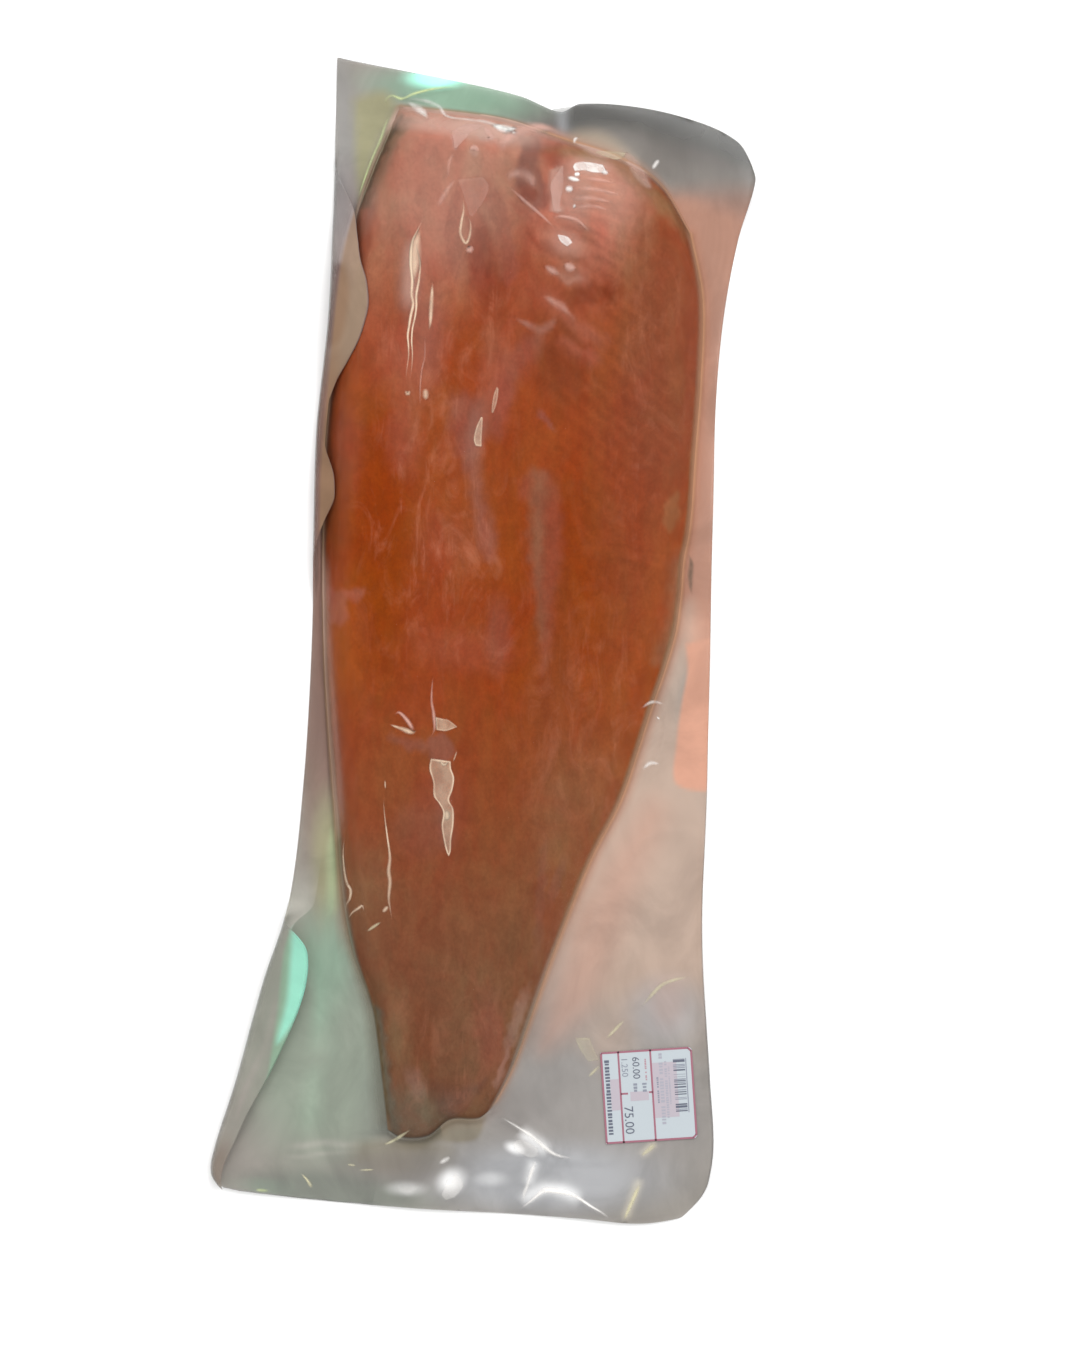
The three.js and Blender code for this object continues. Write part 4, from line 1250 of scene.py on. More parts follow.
creases = [
    # double streak on the back
    crease("cream", 0.8, [1, 1.8, 1.6, 1.6, 1.2, 1], (-31.4, 230.7), (-35.8, 221.9), (-38.5, 215.9),
        (-39.3, 204.3), (-38.5, 194.4), (-38.8, 187.3), (-38, 182.3), (-39.2, 176.3), (-40.2, 170.2),
        (-40.9, 165.3), (-40.5, 159.2), (-40.5, 153.7), (-41.4, 147.1), (-41.8, 141.6), (-40.5, 140)),
    crease("cream", 0.75, [1, 1.6, 1.2, 1, 1], (-36.3, 213.7), (-34.2, 204.3), (-35, 194.4), (-36.3, 187.3),
        (-36.3, 180.7), (-37.1, 174.6), (-38.4, 168.6), (-38.8, 162), (-38.4, 155.4), (-38.8, 147.7),
        (-39.9, 140.5)),
    crease("cream", 0.5, [2.4, 5.4, 5.4, 2.4], (-34.1, 223.6), (-36.3, 214.8), (-36.9, 204.9),
        (-37.7, 193.9)),
    crease("cream", 0.62, [1.4, 2.4, 1.8], (-27.5, 195), (-27.8, 187.3), (-28.3, 179), (-28.7, 171.9),
        (-29.5, 167.5)),
    crease("cream", 0.4, [2.2], (-42.4, 135.6), (-41, 133.4), (-39.6, 135.6)),
    crease("cream", 0.36, [3.4], (-31.4, 136.7), (-31.1, 130.1)),
    crease("rose", 0.2, [0.9], (-31.7, 166.4), (-31.7, 153.7), (-33.3, 146.6), (-34.2, 136.7),
        (-34.2, 125.1)),
    # tongue below the shoulder
    crease("rose", 0.3, [2, 2.6, 3.6], (-14.9, 250), (-18.2, 246.1), (-20.9, 241.7), (-25.3, 234.6)),
    crease("cream", 0.5, [1.2, 1.8, 1.4], (-11, 240.1), (-10.6, 233.5), (-11.9, 226.3), (-12.3, 220.3),
        (-9.4, 215.3), (-7.3, 219.7), (-6.9, 226.3), (-8.8, 230.2)),
    pocket("rose", 0.13, 0.06, [(-14.3, 250), (-12.1, 244.5), (-9.9, 237.9), (-7.7, 230.2)],
        [(0, 251.6), (3.3, 246.7), (1.1, 239.5), (-5.5, 229.6)]),
    crease("rose", 0.45, [3], (-9.4, 213.1), (-7.2, 211.5), (-6.1, 214.2)),
    # bright edge and blotches at the head end
    crease("white", 0.28, [1.6, 2, 1.4, 2.4, 2], (-46.2, 296.7), (-39.6, 297.3), (-33, 296.7),
        (-24.8, 293.4), (-20.4, 287.4), (-9.4, 285.2), (0.6, 284.1), (11, 280.2), (18.7, 277.5)),
    crease("white", 0.75, [2, 4, 2], (4.4, 281.9), (9.9, 280.2), (14.9, 279.7), (18.7, 280.8)),
    crease("white", 0.5, [2.2], (15.4, 276.4), (17.6, 278.6)),
    crease("white", 0.42, [1.4, 3.4, 1.6], (-42.9, 296.7), (-37.4, 292.9), (-33, 289), (-30.3, 284.6)),
    crease("lime", 0.6, [1.6, 1.6, 1.2], (-52.8, 293.4), (-53.9, 297.3), (-50.6, 299.5), (-45.1, 297.8),
        (-38, 300.6), (-26.4, 303.1), (-13.8, 303.9)),
    pocket("lavender", 0.42, 0.12, [(-9.4, 282.4), (-15.4, 278.6), (-17.4, 276.9), (-16.5, 270.9),
        (-16.1, 266.5)], [(0, 282.4), (-2.8, 278.6), (-7.2, 275.8), (-9.4, 272.5), (-14.3, 267)]),
    crease("lavender", 0.4, [2.4, 3, 1.6], (0, 281.9), (2.4, 277.5), (4.4, 273.1), (1.1, 272.5)),
    crease("lavender", 0.4, [1.2, 2.6, 1.6], (-7.7, 265.9), (-5, 267.6), (-2.2, 265.4)),
    crease("rose", 0.2, [2, 2, 1.2], (-16.1, 264.8), (-18.7, 258.2), (-19.1, 250.5)),
    # lip of the hollow at the head end and the ridges beside it
    crease("rose", 0.5, [6, 6, 5.6, 5, 4, 3], (11, 263.7), (10.5, 269.2), (14.9, 275), (21.8, 280.2),
        (29.2, 282), (36.3, 281.3), (42.9, 278)),
    pocket("lavender", 0.42, 0.18, [(36.9, 250), (36.3, 246.7), (36.9, 240.6), (38.2, 233.1)],
        [(43.5, 259.9), (43.7, 247.8), (42, 238.4), (42.4, 232.9)]),
    crease("lavender", 0.3, [1.6, 1.6, 1], (13.2, 247.2), (17.1, 243.4), (22, 239), (31.9, 230.5),
        (39.6, 223)),
    crease("lavender", 0.2, [3, 5, 3.4], (13.8, 247.8), (15.4, 252.7), (20.9, 253.8), (25.9, 250.5),
        (27.5, 243.9)),
    pocket("white", 0.92, 0, [(48.4, 257.7), (50.1, 260.4), (57.2, 261.2), (65.5, 259.9)],
        [(49.5, 254.9), (55, 255.5), (60, 254.4), (67.7, 254.4)]),
    crease("white", 0.7, [2], (64.4, 255.5), (68.2, 254.4)),
    crease("white", 0.8, [1.8], (49.2, 253.3), (52.8, 253.8)),
    crease("white", 0.85, [1.4, 1.8, 1.2], (45.4, 252.2), (49, 251.1), (52.8, 250)),
    crease("white", 0.7, [2.4], (44.3, 246.7), (49, 245.3)),
    crease("white", 0.6, [1.8], (48.4, 237.3), (50.6, 236.2)),
    crease("rose", 0.34, [2.4, 2.2, 1], (50.1, 246.1), (62.7, 245), (75.1, 242.3)),
    crease("rose", 0.3, [2.4, 2, 1], (55, 251.1), (63.8, 250.5), (71.5, 248.9)),
    crease("rose", 0.34, [2.4, 2.4, 1], (47.3, 240.6), (58.3, 240.6), (71.5, 237.9)),
    crease("rose", 0.28, [2, 2, 1], (49, 235.7), (59.4, 236.2), (69.3, 233.5)),
    crease("rose", 0.42, [1.6, 1.8, 1], (37.2, 229.4), (42.9, 230.8), (50.6, 229.1), (58, 222.3)),
    pocket("white", 0.66, 0.1, [(39.9, 220.3), (41.8, 216.4), (45.7, 213.7)], [(40.7, 220.8), (46.2, 219.7),
        (49, 216.4)]),
    crease("lavender", 0.45, [2, 4, 2.4], (43.8, 204.9), (47.3, 202.7), (50.6, 202.7)),
    crease("lavender", 0.34, [2.2, 3, 2], (33, 203.5), (37.4, 201), (41.8, 198.3)),
    crease("lavender", 0.12, [2.4, 3.6, 5, 3], (16, 175.4), (23.1, 172.1), (31.4, 168.7), (38, 173),
        (39.1, 177.9)),
    crease("rose", 0.17, [2.4, 4.4, 2.6], (31.4, 187.3), (39.6, 182.9), (48.4, 176.3)),
    crease("white", 0.6, [1.4], (49.5, 272.5), (50.3, 275.8), (52, 276.4)),
    pocket("straw", 0.34, 0.15, [(60.5, 268.7), (67.1, 269), (74.8, 268.7), (78.7, 268.1)],
        [(61.6, 267), (67.1, 264.8), (71.5, 263.5), (75.9, 264.3)]),
    pocket("lavender", 0.16, 0.12, [(75.9, 268.1), (80.3, 261), (84.7, 254.4), (90.8, 247.8)],
        [(79.2, 268.7), (85.2, 262.6), (89.1, 254.4), (91.9, 244.5)]),
    crease("white", 0.5, [1.8], (92.4, 258.8), (94.6, 262.1), (96.5, 264.3)),
    # two pockets beside the seam
    pocket("cream", 0.38, 0.3, [(-1.4, 121.8), (-3.9, 116.3), (-5.5, 109.2), (-4.4, 105.3)],
        [(0, 121.3), (-0.2, 115.8), (-0.6, 109.7), (-0.6, 104.8)]),
    pocket("cream", 0.3, 0.2, [(7.2, 138.3), (5.5, 133.9), (4.4, 127.9), (4.1, 123.5)],
        [(8.5, 136.7), (8.2, 132.3), (7.2, 127.3), (5.5, 122.9)]),
    # glints and the outlined pocket on the back
    crease("rose", 0.6, [1.4, 1.8, 2.4], (-48.5, -40.7), (-46, -39.3), (-41.8, -43.2), (-37.6, -49.8)),
    crease("cream", 0.62, [1.4, 1.8, 3, 1.8], (-51.2, -45.8), (-44.3, -48.3), (-38.4, -50.3),
        (-36.3, -49.1)),
    crease("rose", 0.45, [0.8, 1, 1.4, 1.8, 1], (-27.5, -19.5), (-28.2, -32.7), (-27, -40.7),
        (-26.6, -48.3), (-28.9, -53.6)),
    pocket("cream", 0.42, 0.25, [(-26.4, -41.5), (-22.6, -42.4), (-19, -43.2), (-14, -47)],
        [(-25.9, -49.2), (-23.7, -49.5), (-20.4, -49.8), (-14.3, -47.6)]),
    pocket("cream", 0.36, 0.55, [(-28.9, -64.1), (-29.7, -70.1), (-27.7, -77.3), (-27.3, -85),
        (-24.6, -88.8), (-22.3, -93.8), (-23.1, -100.9), (-21.9, -109.7), (-20.4, -115.8), (-19.2, -118)],
        [(-17.6, -65.7), (-17.3, -70.1), (-15.7, -74.8), (-16.5, -81.1), (-18.4, -87.2), (-16.1, -92.1),
        (-16.1, -100.9), (-17.3, -108.6), (-17.6, -115.2), (-18.7, -118)], rimWidth=1.3),
    crease("cream", 0.5, [1.4], (-23.7, -65.7), (-21.5, -67.9), (-19.2, -66.3)),
    crease("cream", 0.45, [3], (-20.1, -92.7), (-19.8, -98.2)),
    crease("cream", 0.4, [0.9], (-14.4, -60.2), (-16.5, -66.3)),
    # fine lines by the back edge
    crease("cream", 0.4, [1], (-53.6, -76.2), (-53.4, -81.1)),
    crease("cream", 0.6, [0.8, 1, 1.2, 2.2, 2, 0.8], (-53.6, -83.9), (-54.3, -88.8), (-53.6, -97.6),
        (-52.4, -107), (-51, -118.5), (-51.7, -125.7), (-51, -131.7), (-51.7, -140.5), (-50.9, -146.6),
        (-49.7, -153.7)),
    crease("cream", 0.5, [2.2], (-52, -144.9), (-55.1, -148.5)),
    crease("straw", 0.35, [0.9, 1.6, 1], (-55.6, -153.5), (-59.4, -155.9), (-64, -159.2)),
    crease("cream", 0.62, [0.8, 1, 1.6, 2, 1], (-76.3, -107), (-77.1, -116.3), (-76.5, -125.7),
        (-74.8, -133.4), (-72.8, -136.7), (-73.6, -141.9), (-75.5, -144.9), (-75.7, -150.4)),
    crease("cream", 0.6, [0.8, 1.6, 1.4], (-74.4, -152.6), (-71.7, -148.8), (-67.8, -146), (-66.3, -144.9),
        (-65.1, -148.2)),
    # yellowish line along the skin at the head end
    crease("lime", 0.6, [0.8, 1.8, 1.2, 1.2, 0.9], (-50.1, 290.1), (-53.9, 284.1), (-56.7, 275.3),
        (-61.1, 265.4), (-66, 252.2), (-70.4, 238.4)),
    crease("straw", 0.35, [0.7], (-47.9, 289), (-52.8, 276.4), (-58.9, 262.1), (-64.9, 246.7),
        (-69.9, 234)),
    # glints in the tail margin
    crease("white", 0.7, [0.9, 1.2, 1.4, 1.8, 1.6, 1], (8.8, -261.5), (15.4, -265.4), (22.6, -269.8),
        (27.5, -273.1), (33.6, -278.6), (39.6, -282.4), (50.1, -284.6)),
    pocket("white", 0.3, 0, [(15.4, -276.4), (18.2, -274.2), (23.7, -275.3), (29.7, -278.6)],
        [(17.6, -280.8), (21.5, -283), (25.9, -284.6), (30.3, -283.5)]),
    crease("white", 0.5, [2, 1.8, 1.4, 1.8, 1], (28.6, -284.6), (26.4, -291.2), (24.2, -297.8),
        (22, -304.4), (21.5, -309.4)),
    crease("white", 0.95, [1.2, 1.4, 2.2, 1.8, 1.4, 1.2, 1.4], (18.2, -313.8), (25.9, -307.7), (33.3, -302),
        (40.7, -302.5), (49, -304.4), (59.4, -310.8), (66, -314.9), (69.9, -318.7)),
    pocket("white", 0.3, 0, [(-20.9, -296.7), (-22, -301.1), (-23.7, -304.4), (-20.9, -307.7)],
        [(-15.4, -292.3), (-12.1, -295.6), (-11, -300), (-16, -306.1)]),
    crease("white", 0.45, [2], (-24.8, -287.7), (-21.5, -285.7), (-18.4, -284)),
    crease("straw", 0.7, [2.6, 2, 1.4], (85.8, -298.2), (81.6, -307.7), (76.3, -319.3)),
    crease("straw", 0.5, [3, 2.4, 1.4], (94.6, -276.4), (90.2, -280.2), (86.4, -283.5)),
    crease("straw", 0.55, [1.4, 1.8, 1], (77.6, -208.2), (69, -217), (66.9, -219.5)),
    pocket("straw", 0.22, 0.15, [(49.5, -218.1), (52.8, -225.2), (57.2, -231.8)],
        [(58.3, -218.1), (60.5, -224.1), (63.8, -230.7)]),
    crease("straw", 0.4, [1.6], (57.2, -240.1), (60.5, -236.8), (63.8, -233.5)),
    crease("straw", 0.4, [1.6, 2.2, 1.4], (85.8, -202.1), (97.4, -189.5), (105.1, -186.2), (113.3, -184.5)),
    crease("straw", 0.65, [1, 1.4, 2.8], (-100.7, -292.7), (-97.1, -296.7), (-94.3, -301.3)),
    crease("straw", 0.5, [1.2, 1.8, 1], (-56.1, -277.5), (-50.6, -275.3), (-44.6, -271.4), (-39.6, -267.6)),
    crease("straw", 0.45, [1.2], (-75.4, -287.9), (-70.4, -288.5)),
    crease("straw", 0.45, [1], (-68.8, -291), (-60, -290.7)),
    crease("lime", 0.4, [1.6], (-126, -301.7), (-117.7, -302.2)),
    crease("white", 0.2, [3, 4, 2], (-49, -300.6), (-41.8, -302.2), (-34.7, -298.9)),
    # glints in the belly margin
    crease("white", 0.3, [1.4], (86.4, -37.1), (92.4, -33.8), (99, -34.9)),
    crease("white", 0.45, [1.2, 1.8, 1.2], (86.9, -71.2), (91.3, -67.4), (96.8, -67.9)),
    crease("white", 0.6, [1.8], (95.2, -43.2), (96.3, -42.1)),
    # painted shade in a crease of the belly margin
    crease("dark", 0.35, [1.2, 2.2, 1], (112.2, 48.7), (113.9, 42.1), (113.3, 33.3), (114.4, 23.9)),
]

creaseLook = {
    "step": 1.0,
    "pocketStep": 0.8,
    "across": 8,
    "acrossPocket": 18,
    "lift": 0.22,
    "clearance": 0.05,
    "strength": 0.72,
    "inside": 0.4,
    "halo": 1.15,
    "falloff": 3.4,
    "fade": 0.3,
    "endWidth": 0.35,
    "rimInset": 0.6,
    "rimWidth": 0.35,
    "rimAtEnds": 0.4,
    "soften": 0.9,
    "thin": {"cream": 0.58, "rose": 0.7, "lavender": 0.8, "white": 0.85, "straw": 0.7, "lime": 0.7},
    "breaks": ((1, 0.6, 1), 0.0, 170.0, 2.0, 0.5),
}


# painted glints, as a pale veil over clear film
def creaseMaterial():
    shader = Shader("filmCreaseGlint")
    clear = shader.value("ShaderNodeBsdfTransparent", {"Color": (1, 1, 1, 1)})
    inputs = {"Base Color": shader.attribute("glintAndShadeColour", "Color"), "Roughness": 0.25}
    veil = shader.value("ShaderNodeBsdfPrincipled", inputs)
    breaks = shader.ramp(shader.pattern(*creaseLook["breaks"]), 0.36, 0.6, 0.62, 1.05)
    share = shader.maths("MULTIPLY", shader.attribute("glintAndShadeShare"), breaks, clamp=True)
    return shader.finish(shader.value("ShaderNodeMixShader", {0: share, 1: clear, 2: veil}))


def filmTop(surface, places):  # height of the film, straight down from above
    heights = np.empty(places.shape)
    for index, place in np.ndenumerate(places + frameShift):
        hit = surface.ray_cast(Vector((place.real * mm, place.imag * mm, 0.2)), Vector((0, 0, -1)))[0]
        heights[index] = hit.z / mm if hit else film["upper"]
    return heights


def creaseBand(crease):  # its rails and how strongly it shows between them
    middle = smoothPath(crease["path"], creaseLook["step"])
    t = shares(middle.size - 1)
    widths = crease["widths"] * (2 if len(crease["widths"]) == 1 else 1)
    wide = valueAt(np.stack([shares(len(widths) - 1), widths], -1), t)
    wide = wide * mix(creaseLook["endWidth"], 1, np.sin(np.pi * t) ** 0.5)
    heading = np.gradient(middle)
    thin = creaseLook["thin"].get(crease["colour"], 1)
    reach = 1j * heading / abs(heading) * wide * creaseLook["halo"] * thin
    u = shares(creaseLook["across"])[None, :]
    soft = np.exp(-creaseLook["falloff"] * (2 * u - 1) ** 2) - math.exp(-creaseLook["falloff"])
    ends = smooth(np.minimum(t, 1 - t), 0, creaseLook["fade"])[:, None]
    return middle + reach, middle - reach, crease["share"] * creaseLook["strength"] * soft * ends


def creasePocket(crease):
    left, right = (smoothPath(crease[side], creaseLook["pocketStep"]) for side in ("left", "right"))
    t = shares(max(left.size, right.size) - 1)
    left, right = (np.interp(t, shares(rail.size - 1), rail) for rail in (left, right))
    u = shares(creaseLook["acrossPocket"])[None, :]
    inset = np.minimum(u, 1 - u) * abs(left - right)[:, None]
    endGap = (np.minimum(t, 1 - t) * abs(np.diff(left)).sum())[:, None]
    rim = np.exp(-((inset - creaseLook["rimInset"]) / (creaseLook["rimWidth"] * crease["rimWidth"])) ** 2)
    rim = np.maximum(rim, np.exp(-((endGap - creaseLook["rimInset"]) / creaseLook["rimAtEnds"]) ** 2))
    share = crease["share"] * creaseLook["inside"] + crease["rim"] * creaseLook["strength"] * rim
    share = share * smooth(inset, 0, creaseLook["soften"]) * smooth(endGap, -0.1, creaseLook["soften"])
    return left, right, share


def addCreases(surface):
    bm = bmesh.new()
    for number, crease in enumerate(creases):
        left, right, share = (creaseBand if "path" in crease else creasePocket)(crease)
        u = shares(share.shape[1] - 1)[None, :]
        t = shares(share.shape[0] - 1)[:, None]
        places = mix(left[:, None], right[:, None], u)
        ends = smooth(np.minimum(t, 1 - t), 0, creaseLook["fade"])
        lift = creaseLook["lift"] * np.sqrt(np.clip(4 * u * (1 - u), 0, 1)) * np.clip(4 * ends, 0, 1)
        base = filmTop(surface, places) + creaseLook["clearance"]
        around, both = (np.hstack([values, values[:, -2::-1]]) for values in (places, share))
        z = np.hstack([base + lift, base[:, -2::-1]])
        sheetMesh(bm, around.real, around.imag, z, both, both, number)
    bmesh.ops.remove_doubles(bm, verts=bm.verts, dist=2e-6)
    bmesh.ops.recalc_face_normals(bm, faces=bm.faces)
    piece = finishPiece("filmCreaseGlints", bm, (creaseMaterial(),))
    _, share, _, number = placeOf(piece.data)
    paint(piece.data, "glintAndShadeShare", share)
    colours = np.array([glintAndShadeColours[crease["colour"]] for crease in creases])
    paint(piece.data, "glintAndShadeColour", colours[number.round().astype(int)])


# the price label: places on it run from 0 to 1, across from its left edge and down from its top edge
label = {
    "side": 50.5,
    "turn": 3.7,
    "low": 1.2,
    "high": 1.5,
    "ink": 0.07,
    "frame": 1.05,
    "ruleShare": 0.95,
    "barShare": 0.8,
    "blockShares": (0.5, 0.8),
    "blockHeights": (0.75, 1),
    "leftOut": 0.14,
    "textScale": 1.35,
    "corners": (0.7, 2.4),
    "dividers": [(0.196, 0.002, 0.998), (0.545, 0.002, 0.998)],
    "stubs": [(0.196, 0.275, 0.465), (0.505, 0.545, 0.465)],
    "bars": [(0.13, 0.015, 0.4), (0.147, 0.03, 1), (0.186, 0.012, 0.6), (0.202, 0.012, 0.6),
        (0.22, 0.012, 0.6), (0.245, 0.02, 1), (0.292, 0.006, 0.3), (0.318, 0.006, 0.3), (0.345, 0.014, 0.6),
        (0.362, 0.014, 0.7), (0.38, 0.012, 0.6), (0.4, 0.014, 0.7), (0.43, 0.02, 1), (0.462, 0.012, 0.6),
        (0.484, 0.014, 0.7), (0.508, 0.014, 0.7), (0.545, 0.008, 0.4), (0.562, 0.01, 0.5), (0.618, 0.02, 1),
        (0.644, 0.03, 1), (0.672, 0.012, 0.6), (0.69, 0.016, 0.8)],
    "barsAcross": (0.785, 0.912),
    "barsLine": (0.925, 0.12, 0.71),
    # rows of plain blocks where the lettering is: across, from, to, height, one block's length, ink
    "rows": [(0.065, 0.09, 0.9, 0.052, 0.036, "ink"), (0.65, 0.05, 0.8, 0.046, 0.034, "paleInk"),
        (0.605, 0.26, 0.58, 0.022, 0.024, "greyInk"), (0.7, 0.14, 0.76, 0.03, 0.026, "paleInk"),
        (0.735, 0.2, 0.6, 0.018, 0.018, "paleInk"), (0.485, 0.1, 0.34, 0.02, 0.02, "redInk"),
        (0.46, 0.36, 0.46, 0.05, 0.036, "greyInk"), (0.36, 0.36, 0.46, 0.045, 0.034, "greyInk")],
    # plain numbers: text, across, down, size in millimetres, ink
    "numbers": [("1.250", 0.225, 0.07, 3.6, "greyInk"), ("60.00", 0.345, 0.07, 4.1, "ink"),
        ("75.00", 0.225, 0.6, 5.2, "ink")],
    "tints": [("lilac", 0.68, 0.45, 0.14, 0.3), ("lilac", 0.14, 0.47, 0.05, 0.17), ("lilac", 0.4, 0.5, 0.1,
        0.05)],
}

labelColours = {
    "paper": linear(171, 179, 184),
    "lilac": linear(168, 160, 168),
    "frame": linear(146, 94, 108),
    "ink": linear(88, 92, 106),
    "greyInk": linear(126, 130, 142),
    "paleInk": linear(152, 152, 162),
    "redInk": linear(164, 122, 132),
}


def labelPlace(across, down, height):  # a place on the label, from shares of its side
    local = complex(across - 0.5, 0.5 - down) * label["side"]
    place = labelSheet["centre"] + frameShift + local * np.exp(1j * math.radians(label["turn"]))
    return Vector((place.real, place.imag, height)) * mm


def plainMaterial(name, colour, roughness):
    shader = Shader(name)
    inputs = {"Base Color": colour, "Roughness": roughness}
    return shader.finish(shader.value("ShaderNodeBsdfPrincipled", inputs))


def addBlock(bm, start, end, wide, material):  # a thin printed block between two places, with its width
    run = end - start
    turn = Matrix.Rotation(math.atan2(run.y, run.x), 4, "Z")
    size = Matrix.Diagonal((run.length, wide * mm, label["ink"] * mm, 1))
    place = Matrix.Translation((start + end) / 2)
    made = bmesh.ops.create_cube(bm, size=1, matrix=place @ turn @ size)["verts"]
    for face in {f for v in made for f in v.link_faces}:
        face.material_index = material


def labelSheetFace(bm, height):  # the label's outline as one face, its right corners rounder
    bmesh.ops.create_grid(bm, x_segments=1, y_segments=1, size=0.5)
    sides = [[v for v in bm.verts if (v.co.x > 0) == right] for right in (False, True)]
    for v in bm.verts:
        v.co = labelPlace(v.co.x + 0.5, 0.5 - v.co.y, height)
    for verts, radius in zip(sides, label["corners"]):
        bmesh.ops.bevel(bm, geom=verts, offset=radius * mm, segments=6, profile=0.5, affect="VERTICES",
            material=-1)


def addNumber(bm, text, place, size, material):
    curve = bpy.data.curves.new("number", "FONT")
    curve.body = text
    curve.size = size * mm * label["textScale"]
    curve.extrude = label["ink"] / 2 * mm
    curve.resolution_u = 3
    holder = bpy.data.objects.new("number", curve)
    bpy.context.scene.collection.objects.link(holder)
    flat = holder.evaluated_get(bpy.context.evaluated_depsgraph_get()).to_mesh()
    flat.transform(Matrix.Translation(place) @ Matrix.Rotation(math.radians(label["turn"] - 90), 4, "Z"))
    before = len(bm.faces)
    bm.from_mesh(flat)
    bm.faces.ensure_lookup_table()
    for face in bm.faces[before:]:
        face.material_index = material
    holder.to_mesh_clear()
    bpy.data.objects.remove(holder)
    bpy.data.curves.remove(curve)


def addLabel():
    paper = bmesh.new()
    labelSheetFace(paper, label["low"])
    made = bmesh.ops.extrude_face_region(paper, geom=list(paper.faces))["geom"]
    bmesh.ops.translate(paper, verts=[v for v in made if isinstance(v, bmesh.types.BMVert)],
        vec=(0, 0, (label["high"] - label["low"]) * mm))
    bmesh.ops.recalc_face_normals(paper, faces=paper.faces)
    sheet = finishPiece("priceLabel", paper, (plainMaterial("labelPaper", labelColours["paper"], 0.4),))
    sheet.data.shade_flat()
    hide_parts("price_label")

    inks = [name for name in labelColours if name != "paper"]
    bm = bmesh.new()
    side, frame = label["side"], label["frame"]
    top = label["high"] + label["ink"] / 2 + 0.02

    def rule(ink, wide, across, down, acrossEnd, downEnd, height=top):
        start, end = labelPlace(across, down, height), labelPlace(acrossEnd, downEnd, height)
        addBlock(bm, start, end, wide, inks.index(ink))

    near = frame / side / 2
    far = 1 - near
    for edge in ((near, 0.01, near, 0.99), (far, 0.04, far, 0.96), (0.01, near, 0.96, near),
            (0.01, far, 0.96, far), (0.955, near, far, 0.045), (0.955, far, far, 0.955)):
        rule("frame", frame, *edge)
    for place, start, end in label["dividers"]:
        rule("frame", frame * label["ruleShare"], place, start, place, end)
    for start, end, place in label["stubs"]:
        rule("frame", frame * label["ruleShare"], start, place, end, place)
    start, end = label["barsAcross"]
    for down, thick, dark in label["bars"]:
        rule("ink" if dark > 0.65 else "greyInk", thick * side * label["barShare"], start, down, end, down)
    across, start, end = label["barsLine"]
    rule("greyInk", 0.5, across, start, across, end)
    rng = np.random.default_rng(4)
    for across, start, end, tall, long, ink in label["rows"]:
        down = start
        while down < end:
            length = long * rng.uniform(*label["blockShares"])
            if rng.uniform() > label["leftOut"]:
                rule(ink, tall * side * rng.uniform(*label["blockHeights"]), across, down, across,
                    down + length)
            down += long
    for ink, across, down, halfAcross, halfDown in label["tints"]:
        rule(ink, 2 * halfAcross * side, across, down - halfDown, across, down + halfDown, top - 0.04)
    for text, across, down, size, ink in label["numbers"]:
        addNumber(bm, text, labelPlace(across, down, top + 0.01), size, inks.index(ink))
    materials = [plainMaterial("label" + name.capitalize(), labelColours[name], 0.5) for name in inks]
    printed = finishPiece("labelPrint", bm, materials)
    printed.data.shade_flat()
    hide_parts("price_label")


stage = {"pixel": 0.55, "centre": (540, 675), "origin": (484, 640.5), "imageHeight": 1350, "distance": 1.7,
    "sensor": 36, "floor": linear(240, 240, 240), "floorDrop": 0.5}

# the studio: a bright dome with a dark patch overhead, so that level film stays clear, and a few lamps
sky = {"bright": (1.0, 0.99, 0.98, 1), "strength": 0.75, "overhead": 0.05, "darkFrom": 0.55, "darkTo": 0.97}

lamps = [
    {"name": "key", "place": (0.5, 1.3, 1.7), "aim": (0, 0, 0), "size": (1.4, 1.4), "power": 28},
    {"name": "fill", "place": (0, 0, 2.2), "aim": (0, 0.001, 0), "size": (3, 3), "power": 54},
]


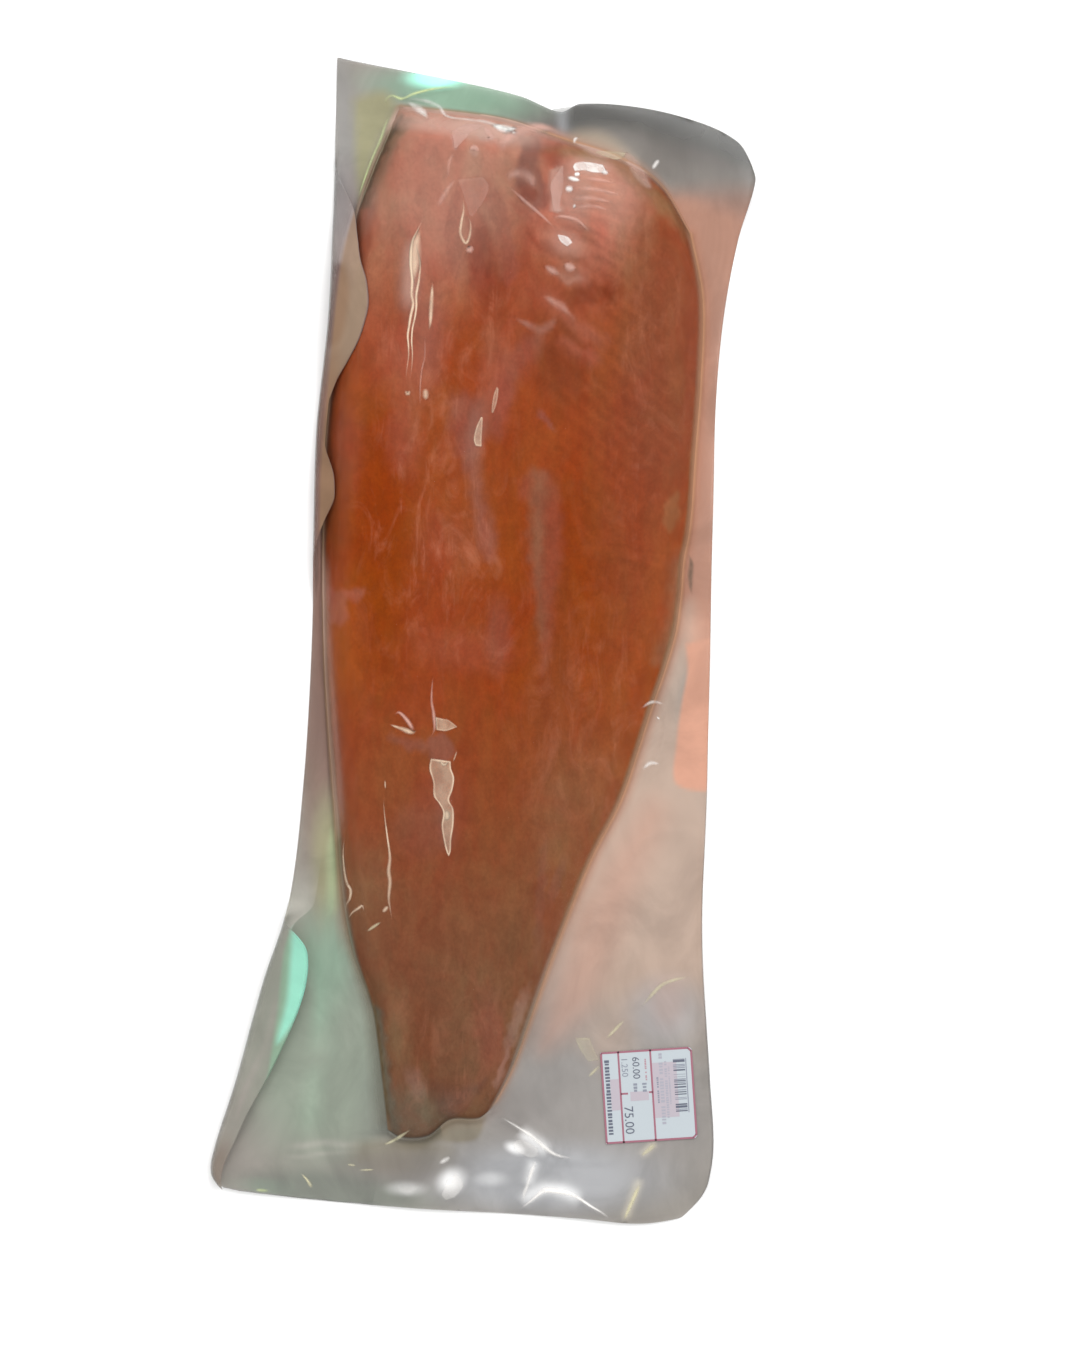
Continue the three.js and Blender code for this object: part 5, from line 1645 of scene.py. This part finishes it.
def addStage():
    bm = bmesh.new()
    bmesh.ops.create_grid(bm, x_segments=1, y_segments=1, size=4.0)
    mesh = bpy.data.meshes.new("floor")
    bm.to_mesh(mesh)
    bm.free()
    mesh.materials.append(plainMaterial("paleFloor", stage["floor"], 0.95))
    floor = bpy.data.objects.new("floor", mesh)
    floor.location.z = -stage["floorDrop"] * mm
    bpy.context.scene.collection.objects.link(floor)

    world = bpy.data.worlds.new("studio")
    world.use_nodes = True
    nodes, links = world.node_tree.nodes, world.node_tree.links
    direction = nodes.new("ShaderNodeTexCoord").outputs["Generated"]
    parts = nodes.new("ShaderNodeSeparateXYZ")
    links.new(direction, parts.inputs[0])
    dim = nodes.new("ShaderNodeMapRange")
    dim.interpolation_type = "SMOOTHSTEP"
    for socket, key in (("From Min", "darkFrom"), ("From Max", "darkTo"), ("To Min", "strength"),
            ("To Max", "overhead")):
        dim.inputs[socket].default_value = sky[key]
    links.new(parts.outputs["Z"], dim.inputs["Value"])
    nodes["Background"].inputs["Color"].default_value = sky["bright"]
    links.new(dim.outputs[0], nodes["Background"].inputs["Strength"])
    bpy.context.scene.world = world
    bpy.context.scene.view_settings.view_transform = "Standard"

    for lamp in lamps:
        light = bpy.data.lights.new(lamp["name"], "AREA")
        light.shape = "RECTANGLE"
        light.size, light.size_y = lamp["size"]
        light.energy = lamp["power"]
        holder = bpy.data.objects.new(lamp["name"], light)
        holder.visible_glossy = False
        holder.location = lamp["place"]
        aim = Vector(lamp["aim"]) - Vector(lamp["place"])
        holder.rotation_euler = aim.to_track_quat("-Z", "Y").to_euler()
        bpy.context.scene.collection.objects.link(holder)


def addCamera():
    data = bpy.data.cameras.new("camera")
    camera = bpy.data.objects.new("camera", data)
    centreX = (stage["centre"][0] - stage["origin"][0]) * stage["pixel"]
    centreY = (stage["origin"][1] - stage["centre"][1]) * stage["pixel"]
    camera.location = ((centreX + frameShift.real) * mm, (centreY + frameShift.imag) * mm,
        stage["distance"])
    data.sensor_width = stage["sensor"]
    data.lens = stage["sensor"] * stage["distance"] / (stage["imageHeight"] * stage["pixel"] * mm)
    bpy.context.scene.collection.objects.link(camera)
    bpy.context.scene.camera = camera


addStage()
addCamera()
print("stage ready")
addFlesh()
print("flesh ready")
filmSurface = addFilm()
print("film ready")
addCreases(filmSurface)
print("creases ready")
addLabel()
print("label ready")
